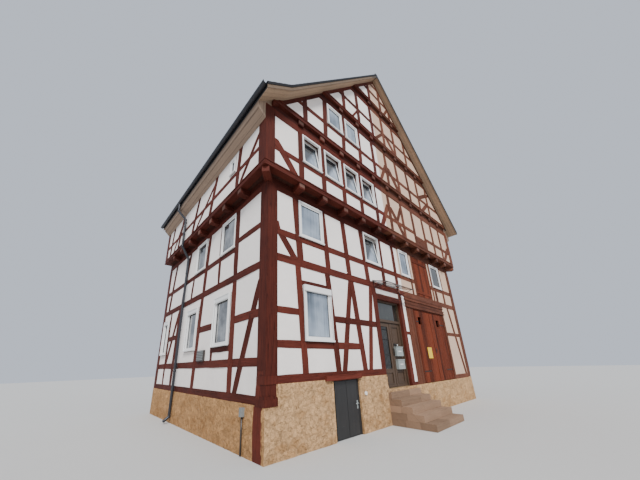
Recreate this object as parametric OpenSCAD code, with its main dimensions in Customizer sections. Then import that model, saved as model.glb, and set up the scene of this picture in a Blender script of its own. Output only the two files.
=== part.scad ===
// Half timbered gabled house on a sandstone plinth: four storeys of framed wall, jettied
// on three sides, under a steep roof whose left eave kicks out.
// Lengths are in millimetres. x runs along the gable front from its left corner, y runs
// back along the eaves side, z runs up from the ground.

/* [House] */
// Width of the gable front between the outer faces of the lower walls
house_w = 10900; // [10600:50:11300]
// Depth of the house from the gable front to the back wall
house_l = 7800; // [7500:50:9500]
// Thickness of a framed wall with its inner plaster
wall_t = 180; // [150:10:220]
// Depth of the timbers from the outer face
timber_d = 120; // [90:10:140]
// How far the plaster stands back from the timber face
infill_recess = 12; // [5:1:25]
// Side of the square corner posts
corner_w = 275; // [240:5:320]
// How far the second floor stands out past the walls below it
jetty_out = 280; // [200:10:320]
// How far each attic storey stands out past the one below
attic_step = 65; // [40:5:70]

/* [Plinth] */
// Thickness of the sandstone walls
plinth_t = 450; // [350:10:550]
// Top of the plinth under the gable front
plinth_front_z = 1260; // [1250:10:1400]
// Top of the plinth under the eaves sides
plinth_side_z = 900; // [800:10:1000]
// Top of the sandstone step at the front corner
corner_stone_z = 880; // [800:10:895]
// How far the low plinth wall under the cellar's cross wall stands left of the entrance
cross_back = 100; // [60:10:200]

/* [Storeys] */
// Height of the ground sill beams on the gable front
front_sill_h = 150; // [120:10:180]
// Height of the ground sill beams on the eaves sides
side_sill_h = 150; // [120:10:180]
// Underside of the first floor rail on the gable front
first_rail_z = 3830; // [3820:5:3860]
// Underside of the first floor rail on the eaves sides
side_first_rail_z = 3650; // [3600:5:3680]
// Height of the floor rails
floor_rail_h = 175; // [150:5:190]
// Underside of the wall plate over the first floor
first_plate_z = 5710; // [5710:5:5760]
// Underside of the wall plate over the second floor
second_plate_z = 7750; // [7720:5:7780]
// Height of the wall plate over the second floor
second_plate_h = 230; // [200:5:250]
// Underside of the plate over the lower attic
attic_plate_z = 9860; // [9840:5:9900]
// Underside of the plate over the middle attic
loft_plate_z = 11880; // [11850:5:11920]
// Height of a wall plate
plate_h = 150; // [130:5:170]
// Height of the joists
joist_h = 170; // [150:5:180]
// Height of the sill beam of a jettied storey
sill_h = 180; // [150:5:190]
// Thickness of the floor boards
board_t = 40; // [30:5:60]
// Thickness of the ground floor slabs
slab_t = 140; // [100:10:180]

/* [Timbers] */
// Width of an upright
post_w = 170; // [140:5:200]
// Height of a rail between uprights
rail_h = 140; // [110:5:160]
// Width of a strut where none is given, measured level
strut_w = 180; // [150:5:200]
// Width of a joist
joist_w = 180; // [150:5:200]
// Joint between two timbers laid end to end
timber_joint = 0.4; // [0.2:0.1:0.8]

/* [Windows and doors] */
// Width of the white window frame all round
frame_w = 60; // [45:5:80]
// Width of the opening sash inside the frame
sash_w = 50; // [40:5:65]
// Depth of a window frame from front to back
frame_d = 110; // [90:5:130]
// How far a window frame stands out past the wall
frame_out = 25; // [10:5:40]
// Height of the white box of a roller shutter over a ground floor window
roller_h = 140; // [110:5:170]
// Thickness of a pane
glass_t = 20; // [12:2:28]
// Width of the cellar doorway
cellar_w = 970; // [900:10:1000]
// Left side of the cellar doorway
cellar_x = 1870; // [1800:10:1900]
// Left side of the entrance doorway
entrance_x = 4130; // [4120:10:4180]
// Width of the entrance doorway
entrance_w = 1400; // [1300:10:1420]
// Top of the entrance doorway
entrance_top_z = 3490; // [3450:10:3520]
// Height of the beam over the entrance
entrance_beam_h = 160; // [140:5:180]
// Top of the two entrance leaves, under the fixed light
leaf_top_z = 2790; // [2740:10:2860]
// Floor of the hall and the barn, and threshold of their doors
hall_z = 880; // [820:10:895]
// Left side of the barn doorway
barn_x = 6450; // [6400:10:6500]
// Width of the barn doorway
barn_w = 2650; // [2500:10:2700]
// Top of the barn doorway
barn_top_z = 3450; // [3350:10:3500]
// Thickness of a door leaf
leaf_t = 50; // [40:2:60]
// Gap round a door leaf
door_gap = 10; // [8:1:14]
// Radius of a hinge pin
pin_r = 9; // [7:0.5:12]
// Height of a hinge eye
eye_h = 60; // [40:5:90]
// Length of a hinge strap on its leaf
strap_l = 260; // [120:10:400]

/* [Steps and canopy] */
// How far the top stone lies below the threshold of the entrance
threshold_drop = 80; // [40:5:120]
// How far the top stone reaches out from the wall
top_stone_out = 100; // [80:10:400]
// Depth of a tread
tread_run = 270; // [250:5:320]
// How many treads lie below the top stone
tread_count = 4; // [3:1:6]
// Width of the steps
steps_w = 1760; // [1500:10:2000]
// Joint between two step stones
stone_joint = 0.4; // [0.2:0.1:0.8]
// How far the glass canopy reaches out from the wall
canopy_out = 500; // [350:10:650]
// How far the canopy falls from the wall to its front edge
canopy_drop = 150; // [60:10:200]
// Height of the canopy at the wall
canopy_z = 4060; // [4020:5:4120]
// Thickness of the canopy pane
canopy_t = 15; // [10:1:25]

/* [Roof] */
// Height of the ridge
ridge_z = 14200; // [14100:10:14400]
// Height of the roof surface at both eaves
eave_z = 8030; // [8000:5:8060]
// How far the left eave reaches out past the lower wall
eave_left_out = 500; // [460:10:560]
// How far the right eave reaches out past the lower wall
eave_right_out = 650; // [600:10:700]
// Where the left slope changes pitch, measured in from the lower wall
kick_x = 250; // [150:10:300]
// Height of the roof surface where the left slope changes pitch
kick_z = 8600; // [8580:5:8630]
// Thickness of the roof, measured upright
roof_t = 150; // [120:5:180]
// Thickness of the boards under the verges
verge_board_t = 25; // [18:1:35]
// How far the roof reaches out past the lower gable wall
verge_front = 700; // [660:10:800]
// How far the roof reaches out past the back wall
verge_back = 350; // [300:10:450]
// Radius of a gutter
gutter_r = 70; // [55:5:85]
// Radius of a downpipe
pipe_r = 42; // [30:2:50]
// How far back from the gable front a downpipe stands
pipe_y = 5200; // [5150:10:5300]
// Gap between a downpipe and the wall
pipe_gap = 25; // [15:5:60]

/* [Hidden] */
$fn = 24;

timber_colour = [0.42, 0.17, 0.13];
plaster_colour = [0.86, 0.83, 0.81];
stone_colour = [0.78, 0.62, 0.44];
boards_colour = [0.6, 0.26, 0.13];
soffit_colour = [0.56, 0.47, 0.37];
slate_colour = [0.25, 0.26, 0.28];
white_colour = [0.92, 0.92, 0.9];
glass_colour = [0.55, 0.65, 0.75];
floor_colour = [0.6, 0.5, 0.4];

// Levels that follow from the plates
first_plate_top = first_plate_z + plate_h;
second_sill_z = first_plate_top + joist_h;
second_sill_top = second_sill_z + sill_h;
second_plate_top = second_plate_z + second_plate_h;
attic_sill_z = second_plate_top + joist_h;
attic_sill_top = attic_sill_z + sill_h;
attic_plate_top = attic_plate_z + plate_h;
loft_sill_z = attic_plate_top + joist_h;
loft_sill_top = loft_sill_z + sill_h;
loft_plate_top = loft_plate_z + plate_h;
top_sill_z = loft_plate_top + joist_h;
front_sill_top = plinth_front_z + front_sill_h;
side_sill_top = plinth_side_z + side_sill_h;
ridge_x = house_w / 2;
canopy_w = entrance_w + 300;
jamb_w = 60;
transom_h = 80;
leaf_y = wall_t - leaf_t;
soffit_in_z = 7450;
soffit_out_z = 7660;
left_fall = (ridge_z - kick_z) / (ridge_x - kick_x);
right_fall = (ridge_z - eave_z) / (house_w + eave_right_out - ridge_x);
kick_fall = (kick_z - eave_z) / (kick_x + eave_left_out);
pin_gap = 0.3;
strap_t = 8;
eye_r = pin_r + 8;
pin_off = eye_r + 2;
cross_x = entrance_x - cross_back;

// Outer faces of the walls
attic_y = -jetty_out - attic_step;
loft_y = attic_y - attic_step;
top_y = loft_y - attic_step;
second_left = -jetty_out;
second_right = house_w + jetty_out;

// The whole model is centred on its footprint
steps_out = top_stone_out + tread_count * tread_run;
front_reach = max(verge_front, steps_out);
centre_x = (house_w + eave_right_out - eave_left_out) / 2;
centre_y = (house_l + verge_back - front_reach) / 2;

// Distances from the right corner, turned into distances from the left one
function from_right(list) = [for (d = list) house_w - d];

// Heights of the rails
side_breast_z = 1590;
first_sill_rail_z = 4500;
first_sill_rail_h = 150;
second_rail_z = 6640;
attic_rail_z = 8830;
loft_rail_z = 10960;
top_rail_z = 12920;
collar_z = 13540;

// Windows as [middle, bottom, width, height]; the upper ones fill the wall up to its plate
ground_window_z = 2095;
ground_window_h = 1290;
ground_window_top = ground_window_z + ground_window_h;
first_window_z = first_sill_rail_z + first_sill_rail_h;
first_window_h = first_plate_z - first_window_z;
second_window_z = second_rail_z + rail_h;
second_window_h = second_plate_z - second_window_z;
attic_window_z = attic_rail_z + rail_h;
attic_window_h = attic_plate_z - attic_window_z;
function row(places, z, h) = [for (p = places) [p[0], z, p[1], h]];
ground_windows = row([[1510, 920]], ground_window_z, ground_window_h);
first_windows = row([[1410, 880], [4215, 870], [house_w - 4520, 700], [house_w - 1675, 930]],
                    first_window_z, first_window_h);
second_windows = row([[1305, 720], [2200, 760], [3115, 750], [4030, 770]],
                     second_window_z, second_window_h);
attic_windows = row([[2440, 740], [3340, 720]], attic_window_z, attic_window_h);
side_ground_windows = row([[2050, 890], [4200, 880], [house_l - 720, 560]],
                          ground_window_z, ground_window_h);
side_first_windows = row([[1980, 860], [3990, 860]], first_window_z, first_window_h);
side_second_windows = [[1400, 6830, 320, 500]];
back_middle = house_w / 2;
back_windows = concat(
    row([[2250, 880], [house_w - 2250, 880]], ground_window_z, ground_window_h),
    row([[2250, 860], [back_middle, 860], [house_w - 2250, 860]], first_window_z, first_window_h),
    row([[3550, 860], [house_w - 3550, 860]], second_window_z, second_window_h),
    row([[back_middle, 730]], attic_window_z, attic_window_h));

// Door posts and the beams over the doors
door_head_z = entrance_top_z + entrance_beam_h;
door_post_w = 190;
entrance_end = entrance_x + entrance_w;
barn_post_w = 500;
barn_side_w = 150;
barn_end = barn_x + barn_w;
hatch_w = 1300;
hatch_x = house_w - 3800;
hatch_z = first_rail_z + floor_rail_h;

// Members of each wall, placed along it: uprights are [foot, head, width], rails are
// [from, to, bottom, height], struts are [foot point, head point, width]
function plumb(list, w = post_w) = [for (x = list) [x, x, w]];

ground_posts = [[1040, 900, 160], [2105, 1920, 175]];
ground_rails = [
    [corner_w, entrance_x, plinth_front_z, front_sill_h],
    [corner_w, 3050, 1940, rail_h],
    [corner_w, 1000, 2650, 130],
    [2000, entrance_x, 2590, rail_h],
    [1000, 2000, ground_window_top, 100],
    [entrance_end, barn_x, hall_z, 90],
    [entrance_end, barn_x, 2470, 80],
    [barn_end, house_w, hall_z, 150],
    [barn_end, house_w, 2590, 110]];
ground_struts = [
    [[2325, front_sill_top], [2880, first_rail_z], 170],
    [[3170, front_sill_top], [2930, first_rail_z], 190],
    [[3415, front_sill_top], [3880, first_rail_z], 160],
    [[house_w - 400, hall_z], [house_w - 1000, first_rail_z], 170]];

first_posts = concat(
    [[1000, 870, 190], [1990, 1880, 170], [2880, 2760, 180], [3810, 3660, 190], [4740, 4740, 170]],
    plumb(from_right([5300])), plumb(from_right([4120, 2215]), 100),
    [[house_w - 1125, house_w - 1125, 160]],
    plumb([hatch_x - 35, hatch_x + hatch_w + 35], 70));
first_low_posts = plumb(from_right([1930]), 200);
first_struts = [
    [[800, hatch_z], [370, first_sill_rail_z + 60], 220],
    [[330, first_window_z - 10], [corner_w, first_window_z + 200], 110]];

second_king = house_w - 5500;
second_posts = concat(
    plumb([880, 1745, 2650, 3545, 4460, second_king]), plumb(from_right([4520, 3600, 2620, 1730, 830])));
board_bay = [house_w - 3600, house_w - 2620, 410];
second_rails = [
    [second_left, board_bay[0], second_rail_z, rail_h],
    [board_bay[1], second_right, second_rail_z, rail_h],
    [board_bay[0], board_bay[1], second_sill_top, board_bay[2]]];
second_struts = [
    [[640, second_sill_top], [-20, 7000], 270],
    [[second_king - 670, second_sill_top], [second_king - 70, 7280], 230],
    [[second_king + 870, second_sill_top], [second_king + 70, 7280], 260],
    [[second_king + 520, second_rail_z + 160], [second_king + 940, 7520], 180],
    [[house_w - 640, second_sill_top], [house_w + 20, 7000], 270]];

attic_king = house_w - 5300;
attic_outer = house_w - 2570;
attic_posts = concat(
    [[1060, 1060, post_w], [1910, 1980, post_w], [2800, 2900, post_w], [3730, 3790, post_w]],
    plumb([4660, attic_king]),
    [[house_w - 4420, house_w - 4470, post_w], [house_w - 3470, house_w - 3510, post_w]],
    plumb([attic_outer, house_w - 1550]));
attic_struts = [
    [[attic_king - 550, attic_sill_top], [attic_king - 40, 9250], 170],
    [[attic_king + 750, attic_sill_top], [attic_king + 100, 9250], 300],
    [[attic_outer + 250, attic_sill_top], [attic_outer + 900, attic_rail_z + 60], 280],
    [[attic_outer + 60, attic_rail_z + 120], [attic_outer + 1300, 9650], 380]];

loft_king = house_w - 5200;
loft_posts = plumb(concat([3010, 3900, 4830, loft_king], from_right([4300, 3300])));
loft_struts = [
    [[3500, loft_sill_top], [3900, loft_rail_z], 90],
    [[loft_king - 640, loft_sill_top], [loft_king - 60, loft_rail_z], 170],
    [[loft_king + 780, loft_sill_top], [loft_king + 150, loft_rail_z + 100], 300]];

top_posts = plumb(concat([4890], from_right([5150, 4400])));
top_struts = [[[house_w - 4850, top_sill_z + sill_h], [house_w - 4500, top_rail_z], 150]];

side_ground_posts = [[1450, 1450, 190], [3740, 3560, 200], [5780, 5640, 200],
                     [house_l - 1100, house_l - 1130, 120]];
side_window_post = [2570, 2570, 120];
side_first_posts = [[1450, 1450, 190], [2450, 2450, 110], [3520, 3360, 190], [5560, 5150, 180],
                    [7150, 6780, 180]];
side_first_low_posts = [[4620, 4520, 110]];
side_rails = [
    [0, house_l, plinth_side_z, side_sill_h],
    [0, house_l, side_breast_z, 165],
    [0, house_l, side_first_rail_z, floor_rail_h],
    [0, house_l, first_plate_z, plate_h],
    [1450, house_l, first_sill_rail_z, first_sill_rail_h],
    [0, 1450, 4690, 140],
    [0, 1450, 2570, 170],
    [2650, 3640, 2570, 170],
    [5780, house_l - 1100, 2570, 150],
    [1450, 2650, ground_window_z - 140, 140]];
side_struts = [
    [[1200, side_sill_top], [240, 3400], 200],
    [[6620, side_breast_z + 165], [5700, side_first_rail_z], 190]];

side_second_posts = [[1130, 930, 160], [2920, 2430, 160], [4480, 3900, 160], [6080, 5560, 160],
                     [7150, 6800, 150]];
side_second_struts = [
    [[930, second_sill_top], [-130, 7300], 170],
    [[4080, second_sill_top], [2600, 7300], 180],
    [[6650, second_sill_top], [5650, 7300], 170]];
back_posts = plumb(concat([1600, 2900, 4200], from_right([5450, 4200, 2900, 1600])));

// Helpers that stand a flat outline up as a wall, with its outer face on the given plane
module on_front(y_out, thick) {
    translate([0, y_out + thick, 0])
        rotate([90, 0, 0])
            linear_extrude(thick) children();
}

module on_back(y_out, thick) {
    translate([0, y_out, 0])
        rotate([90, 0, 0])
            linear_extrude(thick) children();
}

module on_left(x_out, thick) {
    translate([x_out, 0, 0])
        rotate([90, 0, 90])
            linear_extrude(thick) children();
}

module mirrored() {
    translate([house_w, 0, 0])
        mirror([1, 0, 0]) children();
}

// Flat pieces of a frame: x along the wall, y up
module uprights(list, z0, z1) {
    for (p = list)
        polygon([[p[0] - p[2] / 2, z0], [p[0] + p[2] / 2, z0],
                 [p[1] + p[2] / 2, z1], [p[1] - p[2] / 2, z1]]);
}

module rail(x0, x1, z, h = rail_h) {
    translate([x0, z])
        square([x1 - x0, h]);
}

module rails(list) {
    for (r = list)
        rail(r[0], r[1], r[2], r[3]);
}

module strut(foot, head, w = strut_w) {
    polygon([[foot[0] - w / 2, foot[1]], [foot[0] + w / 2, foot[1]],
             [head[0] + w / 2, head[1]], [head[0] - w / 2, head[1]]]);
}

module struts(list) {
    for (s = list)
        strut(s[0], s[1], s[2]);
}

module holes(list) {
    for (w = list)
        translate([w[0] - w[2] / 2, w[1]])
            square([w[2], w[3]]);
}

// Children of the two leaves: outline, members, holes
module timber_leaf() {
    difference() {
        intersection() {
            children(0);
            children(1);
        }
        children(2);
    }
}

module front_timbers(y_out) {
    on_front(y_out, timber_d)
        timber_leaf() {
            children(0);
            children(1);
            children(2);
        }
}

module front_plaster(y_out) {
    difference() {
        on_front(y_out + infill_recess, wall_t - infill_recess)
            difference() {
                children(0);
                children(2);
            }
        on_front(y_out, timber_d)
            intersection() {
                children(0);
                children(1);
            }
    }
}

module left_timbers(x_out) {
    on_left(x_out, timber_d)
        timber_leaf() {
            children(0);
            children(1);
            children(2);
        }
}

module left_plaster(x_out) {
    difference() {
        on_left(x_out + infill_recess, wall_t - infill_recess)
            difference() {
                children(0);
                children(2);
            }
        on_left(x_out, timber_d)
            intersection() {
                children(0);
                children(1);
            }
    }
}

// Sill beam of a jettied storey, as deep as the wall
module sill_beam(z) {
    intersection() {
        children();
        band(z, z + sill_h);
    }
}

module above(z) {
    intersection() {
        children();
        band(z, ridge_z);
    }
}

// Space under the roof, seen from the front
module under_roof(drop) {
    polygon([[-eave_left_out, 0], [-eave_left_out, eave_z - drop], [kick_x, kick_z - drop],
             [ridge_x, ridge_z - drop], [house_w + eave_right_out, eave_z - drop],
             [house_w + eave_right_out, 0]]);
}

// Height of the roof's underside at the left and right eaves
function left_under(x) = eave_z - roof_t + (x + eave_left_out) * kick_fall;
function right_under(x) = eave_z - roof_t + (house_w + eave_right_out - x) * right_fall;

module band(z0, z1) {
    translate([-eave_left_out, z0])
        square([house_w + eave_left_out + eave_right_out, z1 - z0]);
}

// Plinth
module plinth_front() {
    color(stone_colour) {
        difference() {
            cube([cellar_x, plinth_t, plinth_front_z]);
            translate([-1, -1, corner_stone_z])
                cube([corner_w + 1, corner_w + 1, plinth_front_z]);
            translate([-1, corner_w - 1, plinth_side_z])
                cube([wall_t + 1, plinth_t, plinth_front_z]);
            corner_prop(0);
        }
        translate([cellar_x + cellar_w, 0, 0])
            cube([entrance_x - cellar_x - cellar_w, plinth_t, plinth_front_z]);
    }
}

// The right corner post and the wall behind it stand as high as on the eaves side
module plinth_hall() {
    color(stone_colour) {
        difference() {
            translate([entrance_x, 0, 0])
                cube([house_w - entrance_x, plinth_t, hall_z]);
            right_seat();
        }
        intersection() {
            right_seat();
            cube([house_w, plinth_t, plinth_side_z]);
        }
    }
}

module right_seat() {
    translate([house_w - corner_w, -1, -1])
        cube([corner_w + 1, corner_w + 1, plinth_front_z]);
    translate([house_w - wall_t, -1, -1])
        cube([wall_t + 1, plinth_t + 2, plinth_front_z]);
}

module plinth_left() {
    color(stone_colour)
        translate([0, plinth_t, 0])
            cube([plinth_t, house_l - 2 * plinth_t, plinth_side_z]);
}

module plinth_right() {
    color(stone_colour)
        mirrored() plinth_left();
}

module plinth_back() {
    color(stone_colour)
        translate([0, house_l - plinth_t, 0])
            cube([house_w, plinth_t, plinth_side_z]);
}

module cellar_wall() {
    color(stone_colour)
        translate([cross_x - plinth_t, plinth_t, 0])
            cube([plinth_t, house_l - 2 * plinth_t, plinth_front_z - slab_t]);
}

// Short prop let into the plinth under the front corner
module corner_prop(play) {
    translate([-play, 90 - play, 0])
        cube([160 + play, 260 + 2 * play, corner_stone_z + play]);
}

// Corner posts
module corner_posts() {
    color(timber_colour) {
        translate([0, 0, corner_stone_z])
            cube([corner_w, corner_w, first_plate_top - corner_stone_z]);
        corner_prop(0);
        for (p = [[house_w - corner_w, 0], [0, house_l - corner_w],
                  [house_w - corner_w, house_l - corner_w]])
            translate([p[0], p[1], plinth_side_z])
                cube([corner_w, corner_w, first_plate_top - plinth_side_z]);
        for (p = [[second_left, -jetty_out], [second_right - corner_w, -jetty_out],
                  [second_left, house_l - corner_w],
                  [second_right - corner_w, house_l - corner_w]])
            translate([p[0], p[1], second_sill_z])
                cube([corner_w, corner_w, second_plate_top - second_sill_z]);
    }
}

// Gable front, ground floor: left of the entrance, between the doors, right of the barn
module ground_outline() {
    difference() {
        union() {
            translate([corner_w, plinth_front_z])
                square([entrance_x - corner_w, first_rail_z - plinth_front_z]);
            translate([entrance_x, door_head_z])
                square([entrance_w, first_rail_z - door_head_z]);
            translate([entrance_x + entrance_w, hall_z])
                square([barn_x - entrance_x - entrance_w, first_rail_z - hall_z]);
            translate([barn_x + barn_w, hall_z])
                square([house_w - corner_w - barn_x - barn_w, first_rail_z - hall_z]);
        }
        translate([barn_x - barn_post_w, barn_top_z])
            square([barn_w + barn_post_w + barn_side_w, first_rail_z - barn_top_z]);
    }
}

module door_post(x, w, z0, z1) {
    uprights([[x, x, w]], z0, z1);
}

module ground_members() {
    uprights(ground_posts, front_sill_top, first_rail_z);
    door_post(entrance_x - door_post_w / 2, door_post_w, front_sill_top, door_head_z);
    door_post(entrance_end + door_post_w / 2, door_post_w, hall_z, door_head_z);
    door_post(barn_x - barn_post_w / 2, barn_post_w, hall_z, barn_top_z);
    door_post(barn_end + barn_side_w / 2, barn_side_w, hall_z, barn_top_z);
    rails(ground_rails);
    struts(ground_struts);
}

module front_frame_ground() {
    color(timber_colour)
        front_timbers(0) {
            ground_outline();
            ground_members();
            holes(ground_windows);
        }
}

// The strip over the entrance is a panel of its own, with a joint at each side
module front_infill_ground() {
    color(plaster_colour)
        front_plaster(0) {
            difference() {
                ground_outline();
                for (x = [entrance_x - timber_joint, entrance_end])
                    rail(x, x + timber_joint, plinth_front_z, first_rail_z - plinth_front_z);
            }
            ground_members();
            holes(ground_windows);
        }
}

// Gable front, first floor
module first_outline() {
    translate([corner_w, first_rail_z])
        square([house_w - 2 * corner_w, first_plate_top - first_rail_z]);
}

module first_members() {
    rail(corner_w, house_w, first_rail_z, floor_rail_h);
    rail(corner_w, house_w, first_plate_z, plate_h);
    rail(corner_w, house_w, first_sill_rail_z, first_sill_rail_h);
    uprights(first_posts, first_rail_z, first_plate_z);
    uprights(first_low_posts, first_rail_z, first_sill_rail_z);
    struts(first_struts);
}

module first_holes() {
    holes(first_windows);
    translate([hatch_x, hatch_z])
        square([hatch_w, first_plate_z - hatch_z]);
}

// Gable front, second floor
module second_outline() {
    translate([second_left + corner_w, second_sill_z])
        square([second_right - second_left - 2 * corner_w, second_plate_top - second_sill_z]);
}

module second_members() {
    rail(second_left, second_right, second_sill_z, sill_h);
    rail(second_left, second_right, second_plate_z, second_plate_h);
    rails(second_rails);
    uprights(second_posts, second_sill_z, second_plate_z);
    struts(second_struts);
}

module front_frame_upper() {
    color(timber_colour) {
        front_timbers(0) {
            first_outline();
            first_members();
            first_holes();
        }
        front_timbers(-jetty_out) {
            second_outline();
            second_members();
            holes(second_windows);
        }
        on_front(-jetty_out, wall_t)
            sill_beam(second_sill_z) second_outline();
    }
}

module front_infill_upper() {
    color(plaster_colour) {
        front_plaster(0) {
            first_outline();
            first_members();
            first_holes();
        }
        front_plaster(-jetty_out) {
            above(second_sill_top) second_outline();
            second_members();
            holes(second_windows);
        }
    }
}

// Gable: three attic storeys under the roof
rafter_w = 190;
module gable_outline(z0, z1) {
    intersection() {
        under_roof(roof_t);
        band(z0, z1);
        translate([second_left + wall_t, z0])
            square([second_right - second_left - 2 * wall_t, z1 - z0]);
    }
}

module gable_members(z0, z1, posts, rail_z) {
    band(z0, z0 + sill_h);
    band(z1 - plate_h, z1);
    band(rail_z, rail_z + rail_h);
    uprights(posts, z0, z1);
    difference() {
        under_roof(roof_t);
        under_roof(roof_t + rafter_w);
    }
}

module attic_members() {
    gable_members(attic_sill_z, attic_plate_top, attic_posts, attic_rail_z);
    struts(attic_struts);
}

module loft_members() {
    gable_members(loft_sill_z, loft_plate_top, loft_posts, loft_rail_z);
    struts(loft_struts);
}

module top_members() {
    gable_members(top_sill_z, ridge_z, top_posts, top_rail_z);
    band(collar_z, collar_z + 120);
    struts(top_struts);
}

// One storey of the gable: its outer face, its levels; children are the members and holes
module gable_storey(y_out, z0, z1) {
    front_timbers(y_out) {
        gable_outline(z0, z1);
        children(0);
        children(1);
    }
    on_front(y_out, wall_t)
        sill_beam(z0) gable_outline(z0, z1);
}

module gable_panels(y_out, z0, z1) {
    front_plaster(y_out) {
        above(z0 + sill_h) gable_outline(z0, z1);
        children(0);
        children(1);
    }
}

module gable_frame() {
    color(timber_colour) {
        gable_storey(attic_y, attic_sill_z, attic_plate_top) {
            attic_members();
            holes(attic_windows);
        }
        gable_storey(loft_y, loft_sill_z, loft_plate_top) {
            loft_members();
            holes([]);
        }
        gable_storey(top_y, top_sill_z, ridge_z) {
            top_members();
            holes([]);
        }
    }
}

module gable_infill() {
    color(plaster_colour) {
        gable_panels(attic_y, attic_sill_z, attic_plate_top) {
            attic_members();
            holes(attic_windows);
        }
        gable_panels(loft_y, loft_sill_z, loft_plate_top) {
            loft_members();
            holes([]);
        }
        gable_panels(top_y, top_sill_z, ridge_z) {
            top_members();
            holes([]);
        }
    }
}

// Eaves sides, lower two storeys in one plane
module side_lower_outline() {
    translate([corner_w, plinth_side_z])
        square([house_l - 2 * corner_w, first_plate_top - plinth_side_z]);
}

module side_lower_members() {
    rails(side_rails);
    uprights(side_ground_posts, side_sill_top, side_first_rail_z);
    uprights([side_window_post], side_breast_z, ground_window_z);
    uprights(side_first_posts, side_first_rail_z, first_plate_z);
    uprights(side_first_low_posts, side_first_rail_z, first_sill_rail_z);
    struts(side_struts);
}

module side_second_outline() {
    translate([corner_w - jetty_out, second_sill_z])
        square([house_l + jetty_out - 2 * corner_w, second_plate_top - second_sill_z]);
}

module side_second_members() {
    rail(-jetty_out, house_l, second_sill_z, sill_h);
    rail(-jetty_out, house_l, second_plate_z, second_plate_h);
    rail(-jetty_out, house_l, second_rail_z, 120);
    uprights(side_second_posts, second_sill_z, second_plate_z);
    struts(side_second_struts);
}

module side_frame() {
    left_timbers(0) {
        side_lower_outline();
        side_lower_members();
        union() {
            holes(side_ground_windows);
            holes(side_first_windows);
        }
    }
    left_timbers(second_left) {
        side_second_outline();
        side_second_members();
        holes(side_second_windows);
    }
    on_left(second_left, wall_t)
        side_sill(second_sill_z) side_second_outline();
}

// The side's sill beam, and what lies above it
module side_sill(z) {
    intersection() {
        children();
        translate([-jetty_out, z])
            square([house_l + jetty_out, sill_h]);
    }
}

module side_above(z) {
    intersection() {
        children();
        translate([-jetty_out, z])
            square([house_l + jetty_out, ridge_z]);
    }
}

module side_infill() {
    left_plaster(0) {
        side_lower_outline();
        side_lower_members();
        union() {
            holes(side_ground_windows);
            holes(side_first_windows);
        }
    }
    left_plaster(second_left) {
        side_above(second_sill_top) side_second_outline();
        side_second_members();
        holes(side_second_windows);
    }
}

module left_frame() {
    color(timber_colour) side_frame();
}

module left_infill() {
    color(plaster_colour) side_infill();
}

module right_frame() {
    color(timber_colour)
        mirrored() side_frame();
}

module right_infill() {
    color(plaster_colour)
        mirrored() side_infill();
}

// Back wall: one plane from the plinth to the roof
module back_outline() {
    translate([corner_w, plinth_side_z])
        square([house_w - 2 * corner_w, first_plate_top - plinth_side_z]);
    translate([wall_t, first_plate_top])
        square([house_w - 2 * wall_t, joist_h]);
    translate([second_left + corner_w, second_sill_z])
        square([second_right - second_left - 2 * corner_w, second_plate_top - second_sill_z]);
    gable_outline(second_plate_top, ridge_z);
}

module back_members() {
    rail(0, house_w, plinth_side_z, side_sill_h);
    for (z = [side_first_rail_z, first_plate_z, second_sill_z, second_plate_z, attic_sill_z,
              attic_plate_z, loft_sill_z, loft_plate_z, top_sill_z])
        band(z, z + sill_h);
    for (z = [ground_rails[1][2], first_sill_rail_z, second_rail_z, attic_rail_z, loft_rail_z,
              top_rail_z])
        band(z, z + rail_h);
    uprights(back_posts, plinth_side_z, ridge_z);
    for (side = [0, 1])
        translate([side * house_w, 0])
            mirror([side, 0, 0]) {
                strut([1500, side_sill_top], [500, side_first_rail_z]);
                strut([900, second_sill_top], [0, second_plate_z]);
                strut([2800, attic_sill_top], [1700, attic_plate_z]);
            }
    difference() {
        under_roof(roof_t);
        under_roof(roof_t + rafter_w);
    }
}

module back_frame() {
    color(timber_colour)
        on_back(house_l, timber_d)
            timber_leaf() {
                back_outline();
                back_members();
                holes(back_windows);
            }
}

module back_infill() {
    color(plaster_colour)
        difference() {
            on_back(house_l - infill_recess, wall_t - infill_recess)
                difference() {
                    back_outline();
                    holes(back_windows);
                }
            on_back(house_l, timber_d)
                intersection() {
                    back_outline();
                    back_members();
                }
        }
}

// A joist end with its lower edge rounded, lying along x
joist_nose_r = 55;
module joist_head(reach) {
    nose_r = min(reach, joist_nose_r);
    translate([0, joist_w / 2, 0])
        rotate([90, 0, 0])
            linear_extrude(joist_w) {
                translate([-reach, nose_r])
                    square([reach, joist_h - nose_r]);
                translate([-reach + nose_r, 0])
                    square([reach - nose_r, joist_h]);
                translate([-reach + nose_r, nose_r])
                    circle(nose_r);
            }
}

// Jetty under the second floor: a rim beam on each of three sides with its joist ends; the
// front one carries the corner beams too
module jetty_second() {
    color(timber_colour)
        translate([0, 0, first_plate_top]) {
            cube([house_w, wall_t, joist_h]);
            for (p = second_posts)
                translate([p[0], 0, 0])
                    rotate([0, 0, 90])
                        joist_head(jetty_out);
            for (side = [0, 1])
                translate([side * house_w, 0, 0])
                    mirror([side, 0, 0]) {
                        side_rim();
                        corner_beam();
                    }
        }
}

joist_pitch = 930;
module side_rim() {
    start = wall_t + timber_joint;
    translate([0, start, 0])
        cube([wall_t, house_l - start, joist_h]);
    for (y = [joist_pitch:joist_pitch:house_l - joist_pitch])
        translate([0, y, 0])
            joist_head(jetty_out);
}

module corner_beam() {
    beam_l = jetty_out * sqrt(2);
    rotate([0, 0, 45])
        translate([-beam_l + joist_w / 2, -joist_w / 2, 0])
            cube([beam_l - joist_w / 2, joist_w, joist_h]);
}

// The smaller jetties of the gable
module gable_jetty(z, y_in, joists) {
    on_front(y_in, wall_t)
        gable_outline(z, z + joist_h);
    for (p = joists)
        translate([p[0], y_in, z])
            rotate([0, 0, 90])
                joist_head(attic_step);
}

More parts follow.
